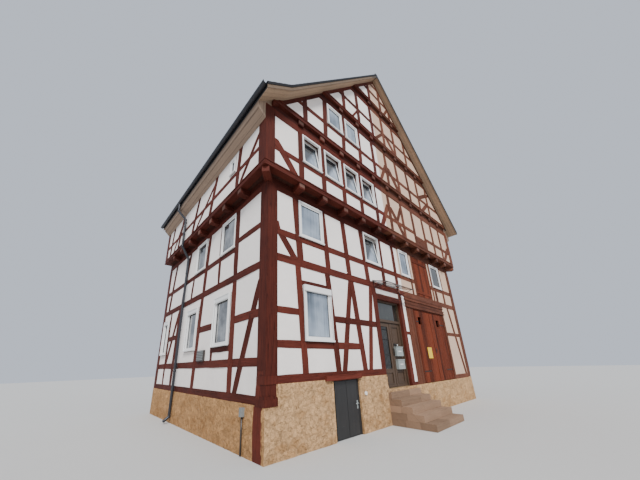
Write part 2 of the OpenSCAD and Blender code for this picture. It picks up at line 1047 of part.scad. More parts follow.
// How far from the ridge line the steeper slope leaves room for a joist at a height
function half_at(z) = (ridge_z - roof_t - z) / left_fall - joist_w;
function under_gable(posts, z) = [for (p = posts) if (abs(p[0] - ridge_x) < half_at(z)) p];

module jetty_attic() {
    color(timber_colour) {
        gable_jetty(second_plate_top, -jetty_out, second_posts);
        gable_jetty(attic_plate_top, attic_y, under_gable(attic_posts, loft_sill_z));
        gable_jetty(loft_plate_top, loft_y, under_gable(loft_posts, top_sill_z));
    }
}

// Corner posts of the lower and of the jettied storeys, as the floors meet them
module lower_posts_cut() {
    for (x = [0, house_w - corner_w], y = [0, house_l - corner_w])
        translate([x, y, 0])
            cube([corner_w, corner_w, first_plate_top]);
}

module upper_posts_cut() {
    for (x = [second_left, second_right - corner_w], y = [-jetty_out, house_l - corner_w])
        translate([x, y, second_sill_z])
            cube([corner_w, corner_w, second_plate_top - second_sill_z]);
}

// Floors
module ground_floor() {
    color(floor_colour) {
        difference() {
            translate([wall_t, plinth_t, plinth_front_z - slab_t])
                cube([cross_x - wall_t, house_l - plinth_t - wall_t, slab_t]);
            lower_posts_cut();
        }
        translate([cross_x, plinth_t, hall_z - slab_t])
            cube([house_w - plinth_t - cross_x, house_l - 2 * plinth_t, slab_t]);
    }
}

module floor_first() {
    color(floor_colour)
        difference() {
            translate([wall_t, wall_t, first_rail_z])
                cube([house_w - 2 * wall_t, house_l - 2 * wall_t, floor_rail_h]);
            lower_posts_cut();
        }
}

module floor_second() {
    color(floor_colour)
        difference() {
            union() {
                translate([wall_t, wall_t, first_plate_top])
                    cube([house_w - 2 * wall_t, house_l - 2 * wall_t, joist_h]);
                translate([second_left + wall_t, -jetty_out + wall_t, second_sill_z])
                    cube([second_right - second_left - 2 * wall_t,
                          house_l + jetty_out - 2 * wall_t, board_t]);
            }
            upper_posts_cut();
        }
}

module floor_attic() {
    color(floor_colour)
        difference() {
            translate([second_left + wall_t, -jetty_out + wall_t, second_plate_top - plate_h])
                cube([second_right - second_left - 2 * wall_t, house_l + jetty_out - 2 * wall_t,
                      plate_h + board_t]);
            upper_posts_cut();
        }
}

// Windows: a fixed frame with a slimmer sash inside it, and one pane
module window_ring(w) {
    inner = frame_w + sash_w;
    on_front(-frame_out, frame_d)
        difference() {
            translate([w[0] - w[2] / 2, w[1]])
                square([w[2], w[3]]);
            translate([w[0] - w[2] / 2 + frame_w, w[1] + frame_w])
                square([w[2] - 2 * frame_w, w[3] - 2 * frame_w]);
        }
    on_front(0, frame_d - frame_out - 15)
        difference() {
            translate([w[0] - w[2] / 2 + frame_w, w[1] + frame_w])
                square([w[2] - 2 * frame_w, w[3] - 2 * frame_w]);
            translate([w[0] - w[2] / 2 + inner, w[1] + inner])
                square([w[2] - 2 * inner, w[3] - 2 * inner]);
        }
}

module window_pane(w) {
    inner = frame_w + sash_w;
    on_front(25, glass_t)
        translate([w[0] - w[2] / 2 + inner, w[1] + inner])
            square([w[2] - 2 * inner, w[3] - 2 * inner]);
}

module onto_left(x_out) {
    translate([x_out, 0, 0])
        mirror([1, -1, 0]) children();
}

// Box of a roller shutter, on the head of a ground floor window
module roller_box(w) {
    on_front(-frame_out - 45, 45)
        translate([w[0] - w[2] / 2, w[1] + w[3] - roller_h])
            square([w[2], roller_h]);
}

module front_window_frames() {
    color(white_colour) {
        for (w = concat(ground_windows, first_windows))
            window_ring(w);
        for (w = ground_windows)
            roller_box(w);
        translate([0, -jetty_out, 0])
            for (w = second_windows)
                window_ring(w);
        translate([0, attic_y, 0])
            for (w = attic_windows)
                window_ring(w);
    }
}

module front_window_glass() {
    color(glass_colour) {
        for (w = concat(ground_windows, first_windows))
            window_pane(w);
        translate([0, -jetty_out, 0])
            for (w = second_windows)
                window_pane(w);
        translate([0, attic_y, 0])
            for (w = attic_windows)
                window_pane(w);
        on_front(leaf_y + (leaf_t - glass_t) / 2, glass_t)
            translate([entrance_x + jamb_w, leaf_top_z + transom_h])
                square([entrance_w - 2 * jamb_w, entrance_top_z - jamb_w - leaf_top_z - transom_h]);
    }
}

module each_side_window() {
    for (side = [0, 1])
        translate([side * house_w, 0, 0])
            mirror([side, 0, 0]) {
                onto_left(0) children(0);
                onto_left(second_left) children(1);
            }
    translate([house_w, house_l, 0])
        rotate([0, 0, 180]) children(2);
}

module rings(list) {
    for (w = list)
        window_ring(w);
}

module panes(list) {
    for (w = list)
        window_pane(w);
}

back_list = [for (w = back_windows) [house_w - w[0], w[1], w[2], w[3]]];

module side_window_frames() {
    color(white_colour)
        each_side_window() {
            union() {
                rings(concat(side_ground_windows, side_first_windows));
                for (w = side_ground_windows)
                    roller_box(w);
            }
            rings(side_second_windows);
            rings(back_list);
        }
}

module side_window_glass() {
    color(glass_colour)
        each_side_window() {
            panes(concat(side_ground_windows, side_first_windows));
            panes(side_second_windows);
            panes(back_list);
        }
}

// Boarded panel over the barn door
module loading_hatch() {
    color(boards_colour)
        on_front(10, 60)
            translate([hatch_x, hatch_z])
                square([hatch_w, first_plate_z - hatch_z]);
}

// Beam over the entrance, the three beams laid on each other over the barn door, and the
// board over the cellar door
barn_beams_out = [22, 0, 14];
module door_lintels() {
    barn_beam_h = (first_rail_z - barn_top_z) / len(barn_beams_out);
    color(timber_colour) {
        translate([cellar_x - 250, -60, plinth_front_z - 20])
            cube([cellar_w + 280, 60, 100]);
        translate([entrance_x, 0, entrance_top_z])
            cube([entrance_w, wall_t, entrance_beam_h]);
        for (i = [0:len(barn_beams_out) - 1])
            translate([barn_x - barn_post_w, -barn_beams_out[i], barn_top_z + barn_beam_h * i])
                cube([barn_w + barn_post_w + barn_side_w, wall_t + barn_beams_out[i], barn_beam_h]);
    }
}

// Hinge parts. The pin stands at the origin, the jamb lies towards -x and its face at
// y = pin_off; the leaf's eye sits on the bracket.
bracket_l = 42;
bracket_h = 30;
module pintle() {
    cylinder(h = eye_h, r = pin_r);
    translate([-bracket_l, -pin_r, -bracket_h])
        cube([bracket_l + pin_r, 2 * pin_r, bracket_h - pin_gap]);
    translate([-bracket_l, -pin_r, -bracket_h])
        cube([bracket_l - 10, pin_off + pin_r, bracket_h - pin_gap]);
    translate([0, 0, -bracket_h])
        cylinder(h = bracket_h, r = pin_r);
}

module eye() {
    difference() {
        union() {
            cylinder(h = eye_h, r = eye_r);
            translate([0, pin_off - strap_t, 0])
                cube([strap_l, strap_t, eye_h]);
        }
        translate([0, 0, -1])
            cylinder(h = eye_h + 2, r = pin_r + pin_gap);
    }
}

// Puts a hinge at the jamb's edge x, on the face y; hand is 1 where the jamb is on the
// left, turn is 1 where the leaf opens towards -y
module hinged(x, y, heights, hand, turn) {
    for (z = heights)
        translate([x, y, z])
            scale_hand(hand, turn)
                translate([0, -pin_off, 0]) children();
}

module scale_hand(hand, turn) {
    mirror([hand == 1 ? 0 : 1, 0, 0])
        mirror([0, turn == 1 ? 0 : 1, 0]) children();
}

// A door's fixed frame: two jambs and a head
module jambs(x, w, z0, z1, jamb) {
    translate([x, z0])
        difference() {
            square([w, z1 - z0]);
            translate([jamb, -1])
                square([w - 2 * jamb, z1 - z0 - jamb + 1]);
        }
}

// Entrance: frame with a fixed light over two leaves that open inwards
entrance_depth = 90;
entrance_y = wall_t - entrance_depth;
entrance_hinges = [hall_z + 250, leaf_top_z - 350];
module entrance_frame() {
    color(boards_colour) {
        on_front(entrance_y, entrance_depth) {
            jambs(entrance_x, entrance_w, hall_z, entrance_top_z, jamb_w);
            rail(entrance_x, entrance_x + entrance_w, leaf_top_z, transom_h);
        }
        hinged(entrance_x + jamb_w, wall_t, entrance_hinges, 1, -1) pintle();
        hinged(entrance_x + entrance_w - jamb_w, wall_t, entrance_hinges, -1, -1) pintle();
    }
}

leaf_w = (entrance_w - 2 * jamb_w - 3 * door_gap) / 2;
leaf_h = leaf_top_z - hall_z - 2 * door_gap;
stile_w = 110;
kick_panel_h = 500;
left_leaf_x = entrance_x + jamb_w + door_gap;
right_leaf_x = left_leaf_x + leaf_w + door_gap;
module leaf_light() {
    translate([left_leaf_x + stile_w, hall_z + door_gap + kick_panel_h])
        square([leaf_w - 2 * stile_w, leaf_h - kick_panel_h - stile_w]);
}

// Panels sunk into the street face of a leaf
panel_sink = 12;
lower_panel_z = hall_z + door_gap + 90;
lower_panel_h = kick_panel_h - 170;
upper_panel_z = 2150;
module sunk_panel(x, z, h) {
    on_front(leaf_y - 1, panel_sink + 1)
        translate([x + stile_w, z])
            square([leaf_w - 2 * stile_w, h]);
}

module entrance_leaf_left() {
    color(boards_colour) {
        difference() {
            on_front(leaf_y, leaf_t)
                difference() {
                    translate([left_leaf_x, hall_z + door_gap])
                        square([leaf_w, leaf_h]);
                    leaf_light();
                }
            sunk_panel(left_leaf_x, lower_panel_z, lower_panel_h);
        }
        hinged(entrance_x + jamb_w, wall_t, entrance_hinges, 1, -1) eye();
    }
}

module entrance_glass() {
    color(glass_colour)
        on_front(leaf_y + (leaf_t - glass_t) / 2, glass_t)
            leaf_light();
}

module entrance_leaf_right() {
    color(boards_colour) {
        difference() {
            on_front(leaf_y, leaf_t)
                translate([right_leaf_x, hall_z + door_gap])
                    square([leaf_w, leaf_h]);
            sunk_panel(right_leaf_x, lower_panel_z, lower_panel_h);
            sunk_panel(right_leaf_x, upper_panel_z, leaf_top_z - stile_w - upper_panel_z);
        }
        hinged(entrance_x + entrance_w - jamb_w, wall_t, entrance_hinges, -1, -1) eye();
    }
}

box_w = 390;
box_h = 285;
box_d = 90;
module letter_boxes() {
    color(white_colour)
        for (z = [1375, 1760])
            translate([right_leaf_x + (leaf_w - box_w) / 2, leaf_y - box_d, z])
                cube([box_w, box_d, box_h]);
}

// Glass canopy on two brackets
canopy_x = entrance_x - 130;
module canopy_glass() {
    color(glass_colour)
        translate([canopy_x, 0, 0])
            rotate([90, 0, 90])
                linear_extrude(canopy_w)
                    polygon([[0, canopy_z], [-canopy_out, canopy_z - canopy_drop],
                             [-canopy_out, canopy_z - canopy_drop - canopy_t],
                             [0, canopy_z - canopy_t]]);
}

module canopy_brackets() {
    bracket_t = 20;
    color("dimgray")
        for (x = [canopy_x + 70, canopy_x + canopy_w - 70 - bracket_t])
            translate([x, 0, 0])
                rotate([90, 0, 90])
                    linear_extrude(bracket_t)
                        polygon([[0, canopy_z - canopy_t],
                                 [-canopy_out, canopy_z - canopy_drop - canopy_t],
                                 [-canopy_out, canopy_z - canopy_drop - canopy_t - 30],
                                 [-40, canopy_z - canopy_t - 60],
                                 [-40, canopy_z - 250], [0, canopy_z - 250]]);
}

// Sandstone steps: a top stone and the treads below it, each one stone down to the ground
module entrance_steps() {
    top_z = hall_z - threshold_drop;
    tread_rise = top_z / (tread_count + 1);
    color(stone_colour) {
        translate([entrance_x - 60, -top_stone_out, 0])
            cube([steps_w, top_stone_out - stone_joint, top_z]);
        for (i = [1:tread_count])
            translate([entrance_x - 60, -top_stone_out - tread_run * i, 0])
                cube([steps_w, tread_run - stone_joint, top_z - tread_rise * i]);
    }
}

// Cellar door: a steel frame in the stone and a leaf that opens outwards
cellar_jamb = 45;
cellar_y = 40;
cellar_head_z = plinth_front_z - 20;
cellar_hinges = [200, cellar_head_z - 250];
module cellar_frame() {
    color("dimgray") {
        on_front(cellar_y, entrance_depth)
            jambs(cellar_x, cellar_w, 0, plinth_front_z, cellar_jamb);
        hinged(cellar_x + cellar_jamb, cellar_y, cellar_hinges, 1, 1) pintle();
    }
}

module cellar_door() {
    color("dimgray") {
        on_front(cellar_y, leaf_t)
            translate([cellar_x + cellar_jamb + door_gap, door_gap])
                square([cellar_w - 2 * cellar_jamb - 2 * door_gap,
                        plinth_front_z - cellar_jamb - 2 * door_gap]);
        hinged(cellar_x + cellar_jamb, cellar_y, cellar_hinges, 1, 1) eye();
    }
}

// Barn door: a timber frame and two boarded leaves that open outwards
barn_y = 20;
barn_leaf_w = (barn_w - 2 * jamb_w - 3 * door_gap) / 2;
barn_leaf_h = barn_top_z - hall_z - jamb_w - 2 * door_gap;
barn_left_x = barn_x + jamb_w + door_gap;
barn_right_x = barn_left_x + barn_leaf_w + door_gap;
barn_hinges = [hall_z + 350, barn_top_z - 500];
module barn_frame() {
    color(boards_colour) {
        on_front(barn_y, 120)
            jambs(barn_x, barn_w, hall_z, barn_top_z, jamb_w);
        hinged(barn_x + jamb_w, barn_y, barn_hinges, 1, 1) pintle();
        hinged(barn_x + barn_w - jamb_w, barn_y, barn_hinges, -1, 1) pintle();
    }
}

// A leaf with its small look-out hole, whose left side lies at hole_x
module barn_leaf(x, hole_x) {
    on_front(barn_y, leaf_t)
        difference() {
            translate([x, hall_z + door_gap])
                square([barn_leaf_w, barn_leaf_h]);
            translate([hole_x, 2880])
                square([280, 270]);
        }
}

module barn_leaf_left() {
    color(boards_colour) {
        barn_leaf(barn_left_x, barn_left_x + 230);
        hinged(barn_x + jamb_w, barn_y, barn_hinges, 1, 1) eye();
    }
}

module barn_leaf_right() {
    color(boards_colour) {
        barn_leaf(barn_right_x, barn_right_x + 550);
        hinged(barn_x + barn_w - jamb_w, barn_y, barn_hinges, -1, 1) eye();
    }
}

// Roof
module roof_slope(profile) {
    translate([0, house_l + verge_back, 0])
        rotate([90, 0, 0])
            linear_extrude(house_l + verge_back + verge_front)
                polygon(profile);
}

module roof_left() {
    color(slate_colour)
        roof_slope([[ridge_x, ridge_z], [kick_x, kick_z], [-eave_left_out, eave_z],
                    [-eave_left_out, eave_z - roof_t], [kick_x, kick_z - roof_t],
                    [ridge_x, ridge_z - roof_t]]);
}

module roof_right() {
    color(slate_colour)
        roof_slope([[ridge_x, ridge_z], [ridge_x, ridge_z - roof_t],
                    [house_w + eave_right_out, eave_z - roof_t],
                    [house_w + eave_right_out, eave_z]]);
}

module ridge_cap() {
    cap_w = 160;
    cap_t = 45;
    left_z = ridge_z - cap_w * left_fall;
    right_z = ridge_z - cap_w * right_fall;
    color(slate_colour)
        roof_slope([[ridge_x, ridge_z], [ridge_x - cap_w, left_z],
                    [ridge_x - cap_w, left_z + cap_t], [ridge_x, ridge_z + cap_t],
                    [ridge_x + cap_w, right_z + cap_t], [ridge_x + cap_w, right_z]]);
}

// Boards under the roof outside the gable walls, back to the face of each storey
module verge_boards() {
    color(soffit_colour) {
        for (part = [[0, attic_sill_z, -jetty_out], [attic_sill_z, loft_sill_z, attic_y],
                     [loft_sill_z, top_sill_z, loft_y], [top_sill_z, ridge_z, top_y]])
            on_front(-verge_front, verge_front + part[2])
                verge_section(part[0], part[1]);
        on_back(house_l + verge_back, verge_back)
            verge_section(0, ridge_z);
    }
}

module verge_section(z0, z1) {
    intersection() {
        difference() {
            under_roof(roof_t);
            under_roof(roof_t + verge_board_t);
        }
        band(z0, z1);
    }
}

// Boxed eaves, filled up behind the wall plates to the underside of the roof
module eaves_boxes() {
    left_in = second_left + wall_t;
    right_in = second_right - wall_t;
    left_out = -eave_left_out;
    right_out = house_w + eave_right_out;
    color(soffit_colour)
        on_back(house_l, house_l + jetty_out) {
            polygon([[second_left, soffit_in_z], [left_out, soffit_out_z],
                     [left_out, left_under(left_out)], [left_in, left_under(left_in)],
                     [left_in, second_plate_top], [second_left, second_plate_top]]);
            polygon([[second_right, soffit_in_z], [second_right, second_plate_top],
                     [right_in, second_plate_top], [right_in, right_under(right_in)],
                     [right_out, right_under(right_out)], [right_out, soffit_out_z]]);
        }
}

// Gutters on both eaves, each with a downpipe
gutter_z = eave_z - 20;
gutter_wall_t = 8;
clamp_t = 35;
collar_t = 6;
module gutter_profile() {
    difference() {
        circle(gutter_r);
        circle(gutter_r - gutter_wall_t);
        translate([-gutter_r - 1, 0])
            square(2 * gutter_r + 2);
    }
}

// A pipe between two points, with a round collar at its end
module pipe(a, b) {
    d = b - a;
    translate(a)
        rotate([0, acos(d[2] / norm(d)), atan2(d[1], d[0])])
            cylinder(h = norm(d), r = pipe_r);
    translate(b)
        sphere(pipe_r + collar_t);
}

// From the gutter to the upper wall, in under the jetty, and down the lower wall; each clamp
// sits on a rail
module downpipe(eave_out) {
    upper_x = second_left - pipe_gap - pipe_r;
    lower_x = -pipe_gap - pipe_r;
    gutter_x = -eave_out - gutter_r;
    gutter_y = pipe_y + 350;
    run = [[gutter_x, gutter_y, gutter_z - gutter_r + 12], [gutter_x, gutter_y, soffit_out_z - 60],
           [upper_x, pipe_y, soffit_in_z - 350], [upper_x, pipe_y, second_sill_z - 80],
           [lower_x, pipe_y, first_plate_z - 210], [lower_x, pipe_y, 190],
           [lower_x - 130, pipe_y, 90]];
    for (i = [0:len(run) - 2])
        pipe(run[i], run[i + 1]);
    clamp(second_left, upper_x, second_rail_z);
    for (z = [first_sill_rail_z, side_first_rail_z, side_breast_z])
        clamp(0, lower_x, z);
}

module clamp(wall_x, pipe_x, rail_z) {
    translate([pipe_x, pipe_y - clamp_t / 2, rail_z + clamp_t])
        cube([wall_x - pipe_x, clamp_t, clamp_t]);
}

module gutters() {
    color(slate_colour) {
        for (x = [-eave_left_out - gutter_r, house_w + eave_right_out + gutter_r])
            translate([x, house_l + verge_back, gutter_z])
                rotate([90, 0, 0])
                    linear_extrude(house_l + verge_back + verge_front)
                        gutter_profile();
        downpipe(eave_left_out);
        mirrored() downpipe(eave_right_out);
    }
}

module place() {
    translate([-centre_x, -centre_y, 0]) children();
}

place() plinth_front();
place() plinth_hall();
place() plinth_left();
place() plinth_right();
place() plinth_back();
place() cellar_wall();
place() corner_posts();
place() front_frame_ground();
place() front_infill_ground();
place() front_frame_upper();
place() front_infill_upper();
place() gable_frame();
place() gable_infill();
place() left_frame();
place() left_infill();
place() right_frame();
place() right_infill();
place() back_frame();
place() back_infill();
place() jetty_second();
place() jetty_attic();
place() ground_floor();
place() floor_first();
place() floor_second();
place() floor_attic();
place() front_window_frames();
place() front_window_glass();
place() side_window_frames();
place() side_window_glass();
place() loading_hatch();
place() door_lintels();
place() entrance_frame();
place() entrance_leaf_left();
place() entrance_glass();
place() entrance_leaf_right();
place() letter_boxes();
place() canopy_glass();
place() canopy_brackets();
place() entrance_steps();
place() cellar_frame();
place() cellar_door();
place() barn_frame();
place() barn_leaf_left();
place() barn_leaf_right();
place() roof_left();
place() roof_right();
place() ridge_cap();
place() verge_boards();
place() eaves_boxes();
place() gutters();
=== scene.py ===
import math
import random

import bmesh
import bpy
from mathutils import Matrix, Vector, noise


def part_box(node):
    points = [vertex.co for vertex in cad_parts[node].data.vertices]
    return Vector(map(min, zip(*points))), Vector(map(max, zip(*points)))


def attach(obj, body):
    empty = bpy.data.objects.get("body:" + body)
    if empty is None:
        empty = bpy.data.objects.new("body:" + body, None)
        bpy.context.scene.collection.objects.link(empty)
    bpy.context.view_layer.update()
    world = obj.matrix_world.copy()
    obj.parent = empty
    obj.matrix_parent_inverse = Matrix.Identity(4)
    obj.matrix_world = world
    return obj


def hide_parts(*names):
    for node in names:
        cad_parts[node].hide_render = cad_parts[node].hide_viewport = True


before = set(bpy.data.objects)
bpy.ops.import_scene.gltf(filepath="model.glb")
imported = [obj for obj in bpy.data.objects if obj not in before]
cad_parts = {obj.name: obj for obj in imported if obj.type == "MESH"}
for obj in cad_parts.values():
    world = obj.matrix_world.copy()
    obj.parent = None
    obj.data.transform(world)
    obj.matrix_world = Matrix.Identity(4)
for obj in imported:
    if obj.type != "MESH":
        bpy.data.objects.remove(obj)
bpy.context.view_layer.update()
print("frame loaded")

# the house's own corner: front left, on the ground; every place below is counted from it
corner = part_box("plinth_front")[0]
houseWide, houseDeep = 10.9, 7.8
dice = random.Random(11)
mm = 0.001


def at(x, y, z):
    return Vector((corner.x + x, corner.y + y, z))


def newObject(name, data):
    made = bpy.data.objects.new(name, data)
    bpy.context.scene.collection.objects.link(made)
    return made


# camera close to the corner, looking up
cameraPlace = {"spot": (-2.894, -4.320, 1.60), "yaw": 41.49, "pitch": 19.59, "roll": -1.74,
               "lens": 14.48, "sensor": 36, "shift": (0.0325, 0.0514), "far": 200}


def makeCamera(values):
    yaw, pitch, roll = [math.radians(values[turn]) for turn in ("yaw", "pitch", "roll")]
    ahead = Vector((math.sin(yaw) * math.cos(pitch), math.cos(yaw) * math.cos(pitch),
                    math.sin(pitch)))
    flat = Vector((math.cos(yaw), -math.sin(yaw), 0))
    tall = flat.cross(ahead)
    right = math.cos(roll) * flat + math.sin(roll) * tall
    up = -math.sin(roll) * flat + math.cos(roll) * tall
    data = bpy.data.cameras.new("streetCamera")
    data.lens, data.sensor_width, data.clip_end = values["lens"], values["sensor"], values["far"]
    data.shift_x, data.shift_y = values["shift"]
    camera = newObject("streetCamera", data)
    turn = Matrix((right, up, -ahead)).transposed().to_4x4()
    camera.matrix_world = Matrix.Translation(at(*values["spot"])) @ turn
    bpy.context.scene.camera = camera


makeCamera(cameraPlace)
print("camera placed")


# shader helpers: a value given for a socket is set on it, a socket given for it is linked to it
def feed(tree, socket, value):
    if isinstance(value, bpy.types.NodeSocket):
        tree.links.new(value, socket)
    else:
        socket.default_value = (*value, 1) if socket.type == "RGBA" else value


# names with a capital are a node's sockets, the others its settings; give is the output handed
# back, None for all of them
def nodeTools(tree):
    def add(kind, *feeds, give=0, **settings):
        made = tree.nodes.new("ShaderNode" + kind)
        for key, value in settings.items():
            if key[0].islower():
                setattr(made, key, value)
            else:
                feed(tree, made.inputs[key.replace("_", " ")], value)
        for slot, value in enumerate(feeds):
            if value is not None:
                feed(tree, made.inputs[slot], value)
        return made.outputs if give is None else made.outputs[give]

    def calc(operation, *feeds, **more):
        return add("Math", *feeds, operation=operation, **more)

    def blend(factor, a, b, kind="MIX"):  # the two colours are the mix node's sockets 6 and 7
        return add("Mix", factor, *[None] * 5, a, b, give=2, data_type="RGBA", blend_type=kind)

    def ramp(source, stops):
        shade = add("ValToRGB", source)
        elements = shade.node.color_ramp.elements
        while len(elements) < len(stops):
            elements.new(0.5)
        for element, (spot, tone) in zip(elements, stops):
            element.position = spot
            element.color = (*tone, 1) if isinstance(tone, tuple) else (tone, tone, tone, 1)
        return shade

    return add, calc, blend, ramp


def newGroup(name, inputs, *outputs):
    group = bpy.data.node_groups.new(name, "ShaderNodeTree")
    for label, value in inputs.items():
        kind = "Float" if isinstance(value, float) else "Color" if value else "Vector"
        socket = group.interface.new_socket(label, in_out="INPUT", socket_type="NodeSocket" + kind)
        if value is not None:
            socket.default_value = (*value, 1) if kind == "Color" else value
    for label in outputs:
        kind = "Color" if label == "Colour" else "Float"
        group.interface.new_socket(label, in_out="OUTPUT", socket_type="NodeSocket" + kind)
    start, end = [group.nodes.new(kind) for kind in ("NodeGroupInput", "NodeGroupOutput")]
    return group, start.outputs, end.inputs, *nodeTools(group)


def scaled(add, tone, shade):
    return add("VectorMath", tone, operation="SCALE", Scale=shade)


def makeDriftGroup():  # slow patches and fine specks that lighten and darken a colour
    group, start, end, add, calc, *_ = newGroup(
        "slowDrift", {"Colour": (0.5, 0.5, 0.5), "Patch size": 1.0, "Patch strength": 0.15,
                      "Speck size": 0.03, "Speck strength": 0.08}, "Colour", "Shade")
    place = add("TexCoord", give="Object")
    shades = []
    for kind in ("Patch", "Speck"):
        rate = calc("DIVIDE", 1.0, start[kind + " size"])
        cloud = add("TexNoise", place, Scale=rate, Detail=4.0, Roughness=0.6)
        shades.append(calc("MULTIPLY", calc("SUBTRACT", cloud, 0.5), start[kind + " strength"]))
    shade = calc("MULTIPLY_ADD", calc("ADD", *shades), 3.0, 1.0)
    feed(group, end["Colour"], scaled(add, start["Colour"], shade))
    feed(group, end["Shade"], shade)
    return group


grainLook = {"streaks": (1.6, 42, 42), "cracks": (0.55, 13, 13), "darkest": 0.12}


def makeGrainGroup():  # streaks and drying cracks that run along a timber
    group, start, end, add, calc, blend, ramp = newGroup(
        "plankGrain", {"Colour": (0.2, 0.1, 0.05), "Along": None, "Streaks": 0.35, "Cracks": 0.6,
                       "Tone": 0.0}, "Colour", "Height")

    def drawnOut(stretch, detail, rough):
        along = add("VectorMath", start["Along"], stretch, operation="MULTIPLY")
        return add("TexNoise", along, Scale=1.0, Detail=detail, Roughness=rough)

    streak = calc("SUBTRACT", drawnOut(grainLook["streaks"], 5.0, 0.62), 0.5)
    whole = ramp(drawnOut(grainLook["cracks"], 3.0, 0.5),
                 [(0.0, 1.0), (0.485, 1.0), (0.5, 0.0), (0.515, 1.0), (1.0, 1.0)])
    cut = calc("MULTIPLY", calc("SUBTRACT", 1.0, whole), start["Cracks"])
    toned = calc("ADD", calc("MULTIPLY", streak, start["Streaks"]), start["Tone"])
    shade = calc("SUBTRACT", calc("MULTIPLY_ADD", toned, 2.0, 1.0), cut)
    kept = calc("MAXIMUM", shade, grainLook["darkest"])
    feed(group, end["Colour"], scaled(add, start["Colour"], kept))
    feed(group, end["Height"], kept)
    return group


def makeHalfGroup():  # 0 on the renewed left half of the house, 1 on the older right half
    group, start, end, add, calc, *_ = newGroup(
        "olderHalf", {"Edge": 0.38, "Width": 0.06, "Upper shift": 0.95}, "Mask")
    parts = add("SeparateXYZ", add("TexCoord", give="Object"), give=None)
    upper = add("MapRange", parts["Z"], 5.98, 6.02)  # the older half is wider above the jetty
    moved = calc("MULTIPLY_ADD", upper, start["Upper shift"], parts["X"])
    past = calc("SUBTRACT", moved, start["Edge"])
    feed(group, end["Mask"], calc("DIVIDE", past, start["Width"], use_clamp=True))
    return group


drift, plankGrain, olderHalf = makeDriftGroup(), makeGrainGroup(), makeHalfGroup()


def paint(material, **sockets):
    tree = material.node_tree
    for name, value in sockets.items():
        feed(tree, tree.nodes["Principled BSDF"].inputs[name.replace("_", " ")], value)


def newMaterial(name, rough, metal=0.0, gloss=0.3):
    material = bpy.data.materials.new(name)
    material.use_nodes = True
    paint(material, Roughness=rough, Metallic=metal, Specular_IOR_Level=gloss)
    return material, *nodeTools(material.node_tree)


def relief(add, height, strength, distance):
    return add("Bump", Strength=strength, Distance=distance, Height=height)


def worn(add, tone, patch, speck):  # patch and speck: size in metres, strength
    return add("Group", node_tree=drift, give=None, Colour=tone, Patch_size=patch[0],
               Patch_strength=patch[1], Speck_size=speck[0], Speck_strength=speck[1])


def aged(add, blend, tone, old):
    return blend(add("Group", node_tree=olderHalf), tone, old) if old else tone


def attribute(add, name):
    return add("Attribute", give="Fac", attribute_type="GEOMETRY", attribute_name=name)


def makeFinish(name, tone, rough, patch=(1.0, 0.15), speck=(0.03, 0.08), bump=0.2, metal=0.0,
               gloss=0.3):
    material, add, *_ = newMaterial(name, rough, metal, gloss)
    shown = worn(add, tone, patch, speck)
    paint(material, Base_Color=shown["Colour"], Normal=relief(add, shown["Shade"], bump, 0.01))
    return material


def makeWood(name, tone, rough, streaks=0.35, cracks=0.5, old=None, uv=True, spread=0.12,
             bump=0.5, gloss=0.2, patch=0.16):
    material, add, calc, blend, _ = newMaterial(name, rough, 0.0, gloss)
    if uv:
        along = add("UVMap", uv_map="grain")
    else:
        parts = add("SeparateXYZ", add("TexCoord", give="Object"), give=None)
        along = add("CombineXYZ", parts["Z"], parts["X"], parts["Y"])
    own = calc("MULTIPLY", attribute(add, "beamTone"), spread)
    grain = add("Group", node_tree=plankGrain, give=None, Colour=aged(add, blend, tone, old),
                Along=along, Streaks=streaks, Cracks=cracks, Tone=own)
    shown = worn(add, grain["Colour"], (0.7, patch), (0.02, 0.08))
    paint(material, Base_Color=shown["Colour"], Normal=relief(add, grain["Height"], bump, 0.006))
    return material


def makePlaster(name, tone, old):  # soiled by splashes near the ground
    material, add, calc, blend, _ = newMaterial(name, 0.92, 0.0, 0.1)
    place = add("TexCoord", give="Object")
    splash = add("MapRange", add("SeparateXYZ", place, give="Z"), 0.9, 2.6, 0.16, 0.0)
    tall = add("VectorMath", place, (7, 7, 1.1), operation="MULTIPLY")
    streak = add("TexNoise", tall, Scale=1.0, Detail=4.0, Roughness=0.6)
    soiled = blend(calc("MULTIPLY", splash, streak), aged(add, blend, tone, old),
                   (0.30, 0.24, 0.18))
    shown = worn(add, soiled, (0.55, 0.06), (0.015, 0.03))
    swell = add("TexNoise", place, Scale=5.0, Detail=6.0, Roughness=0.65)
    paint(material, Base_Color=shown["Colour"], Normal=relief(add, swell, 0.5, 0.02))
    return material


masonryLook = {"cloud": 2.6, "grit": 27.0, "cells": 8.5, "shaken": (0.22, 0.22, 0.22),
               "tones": 0.22, "lightest": 1.18}


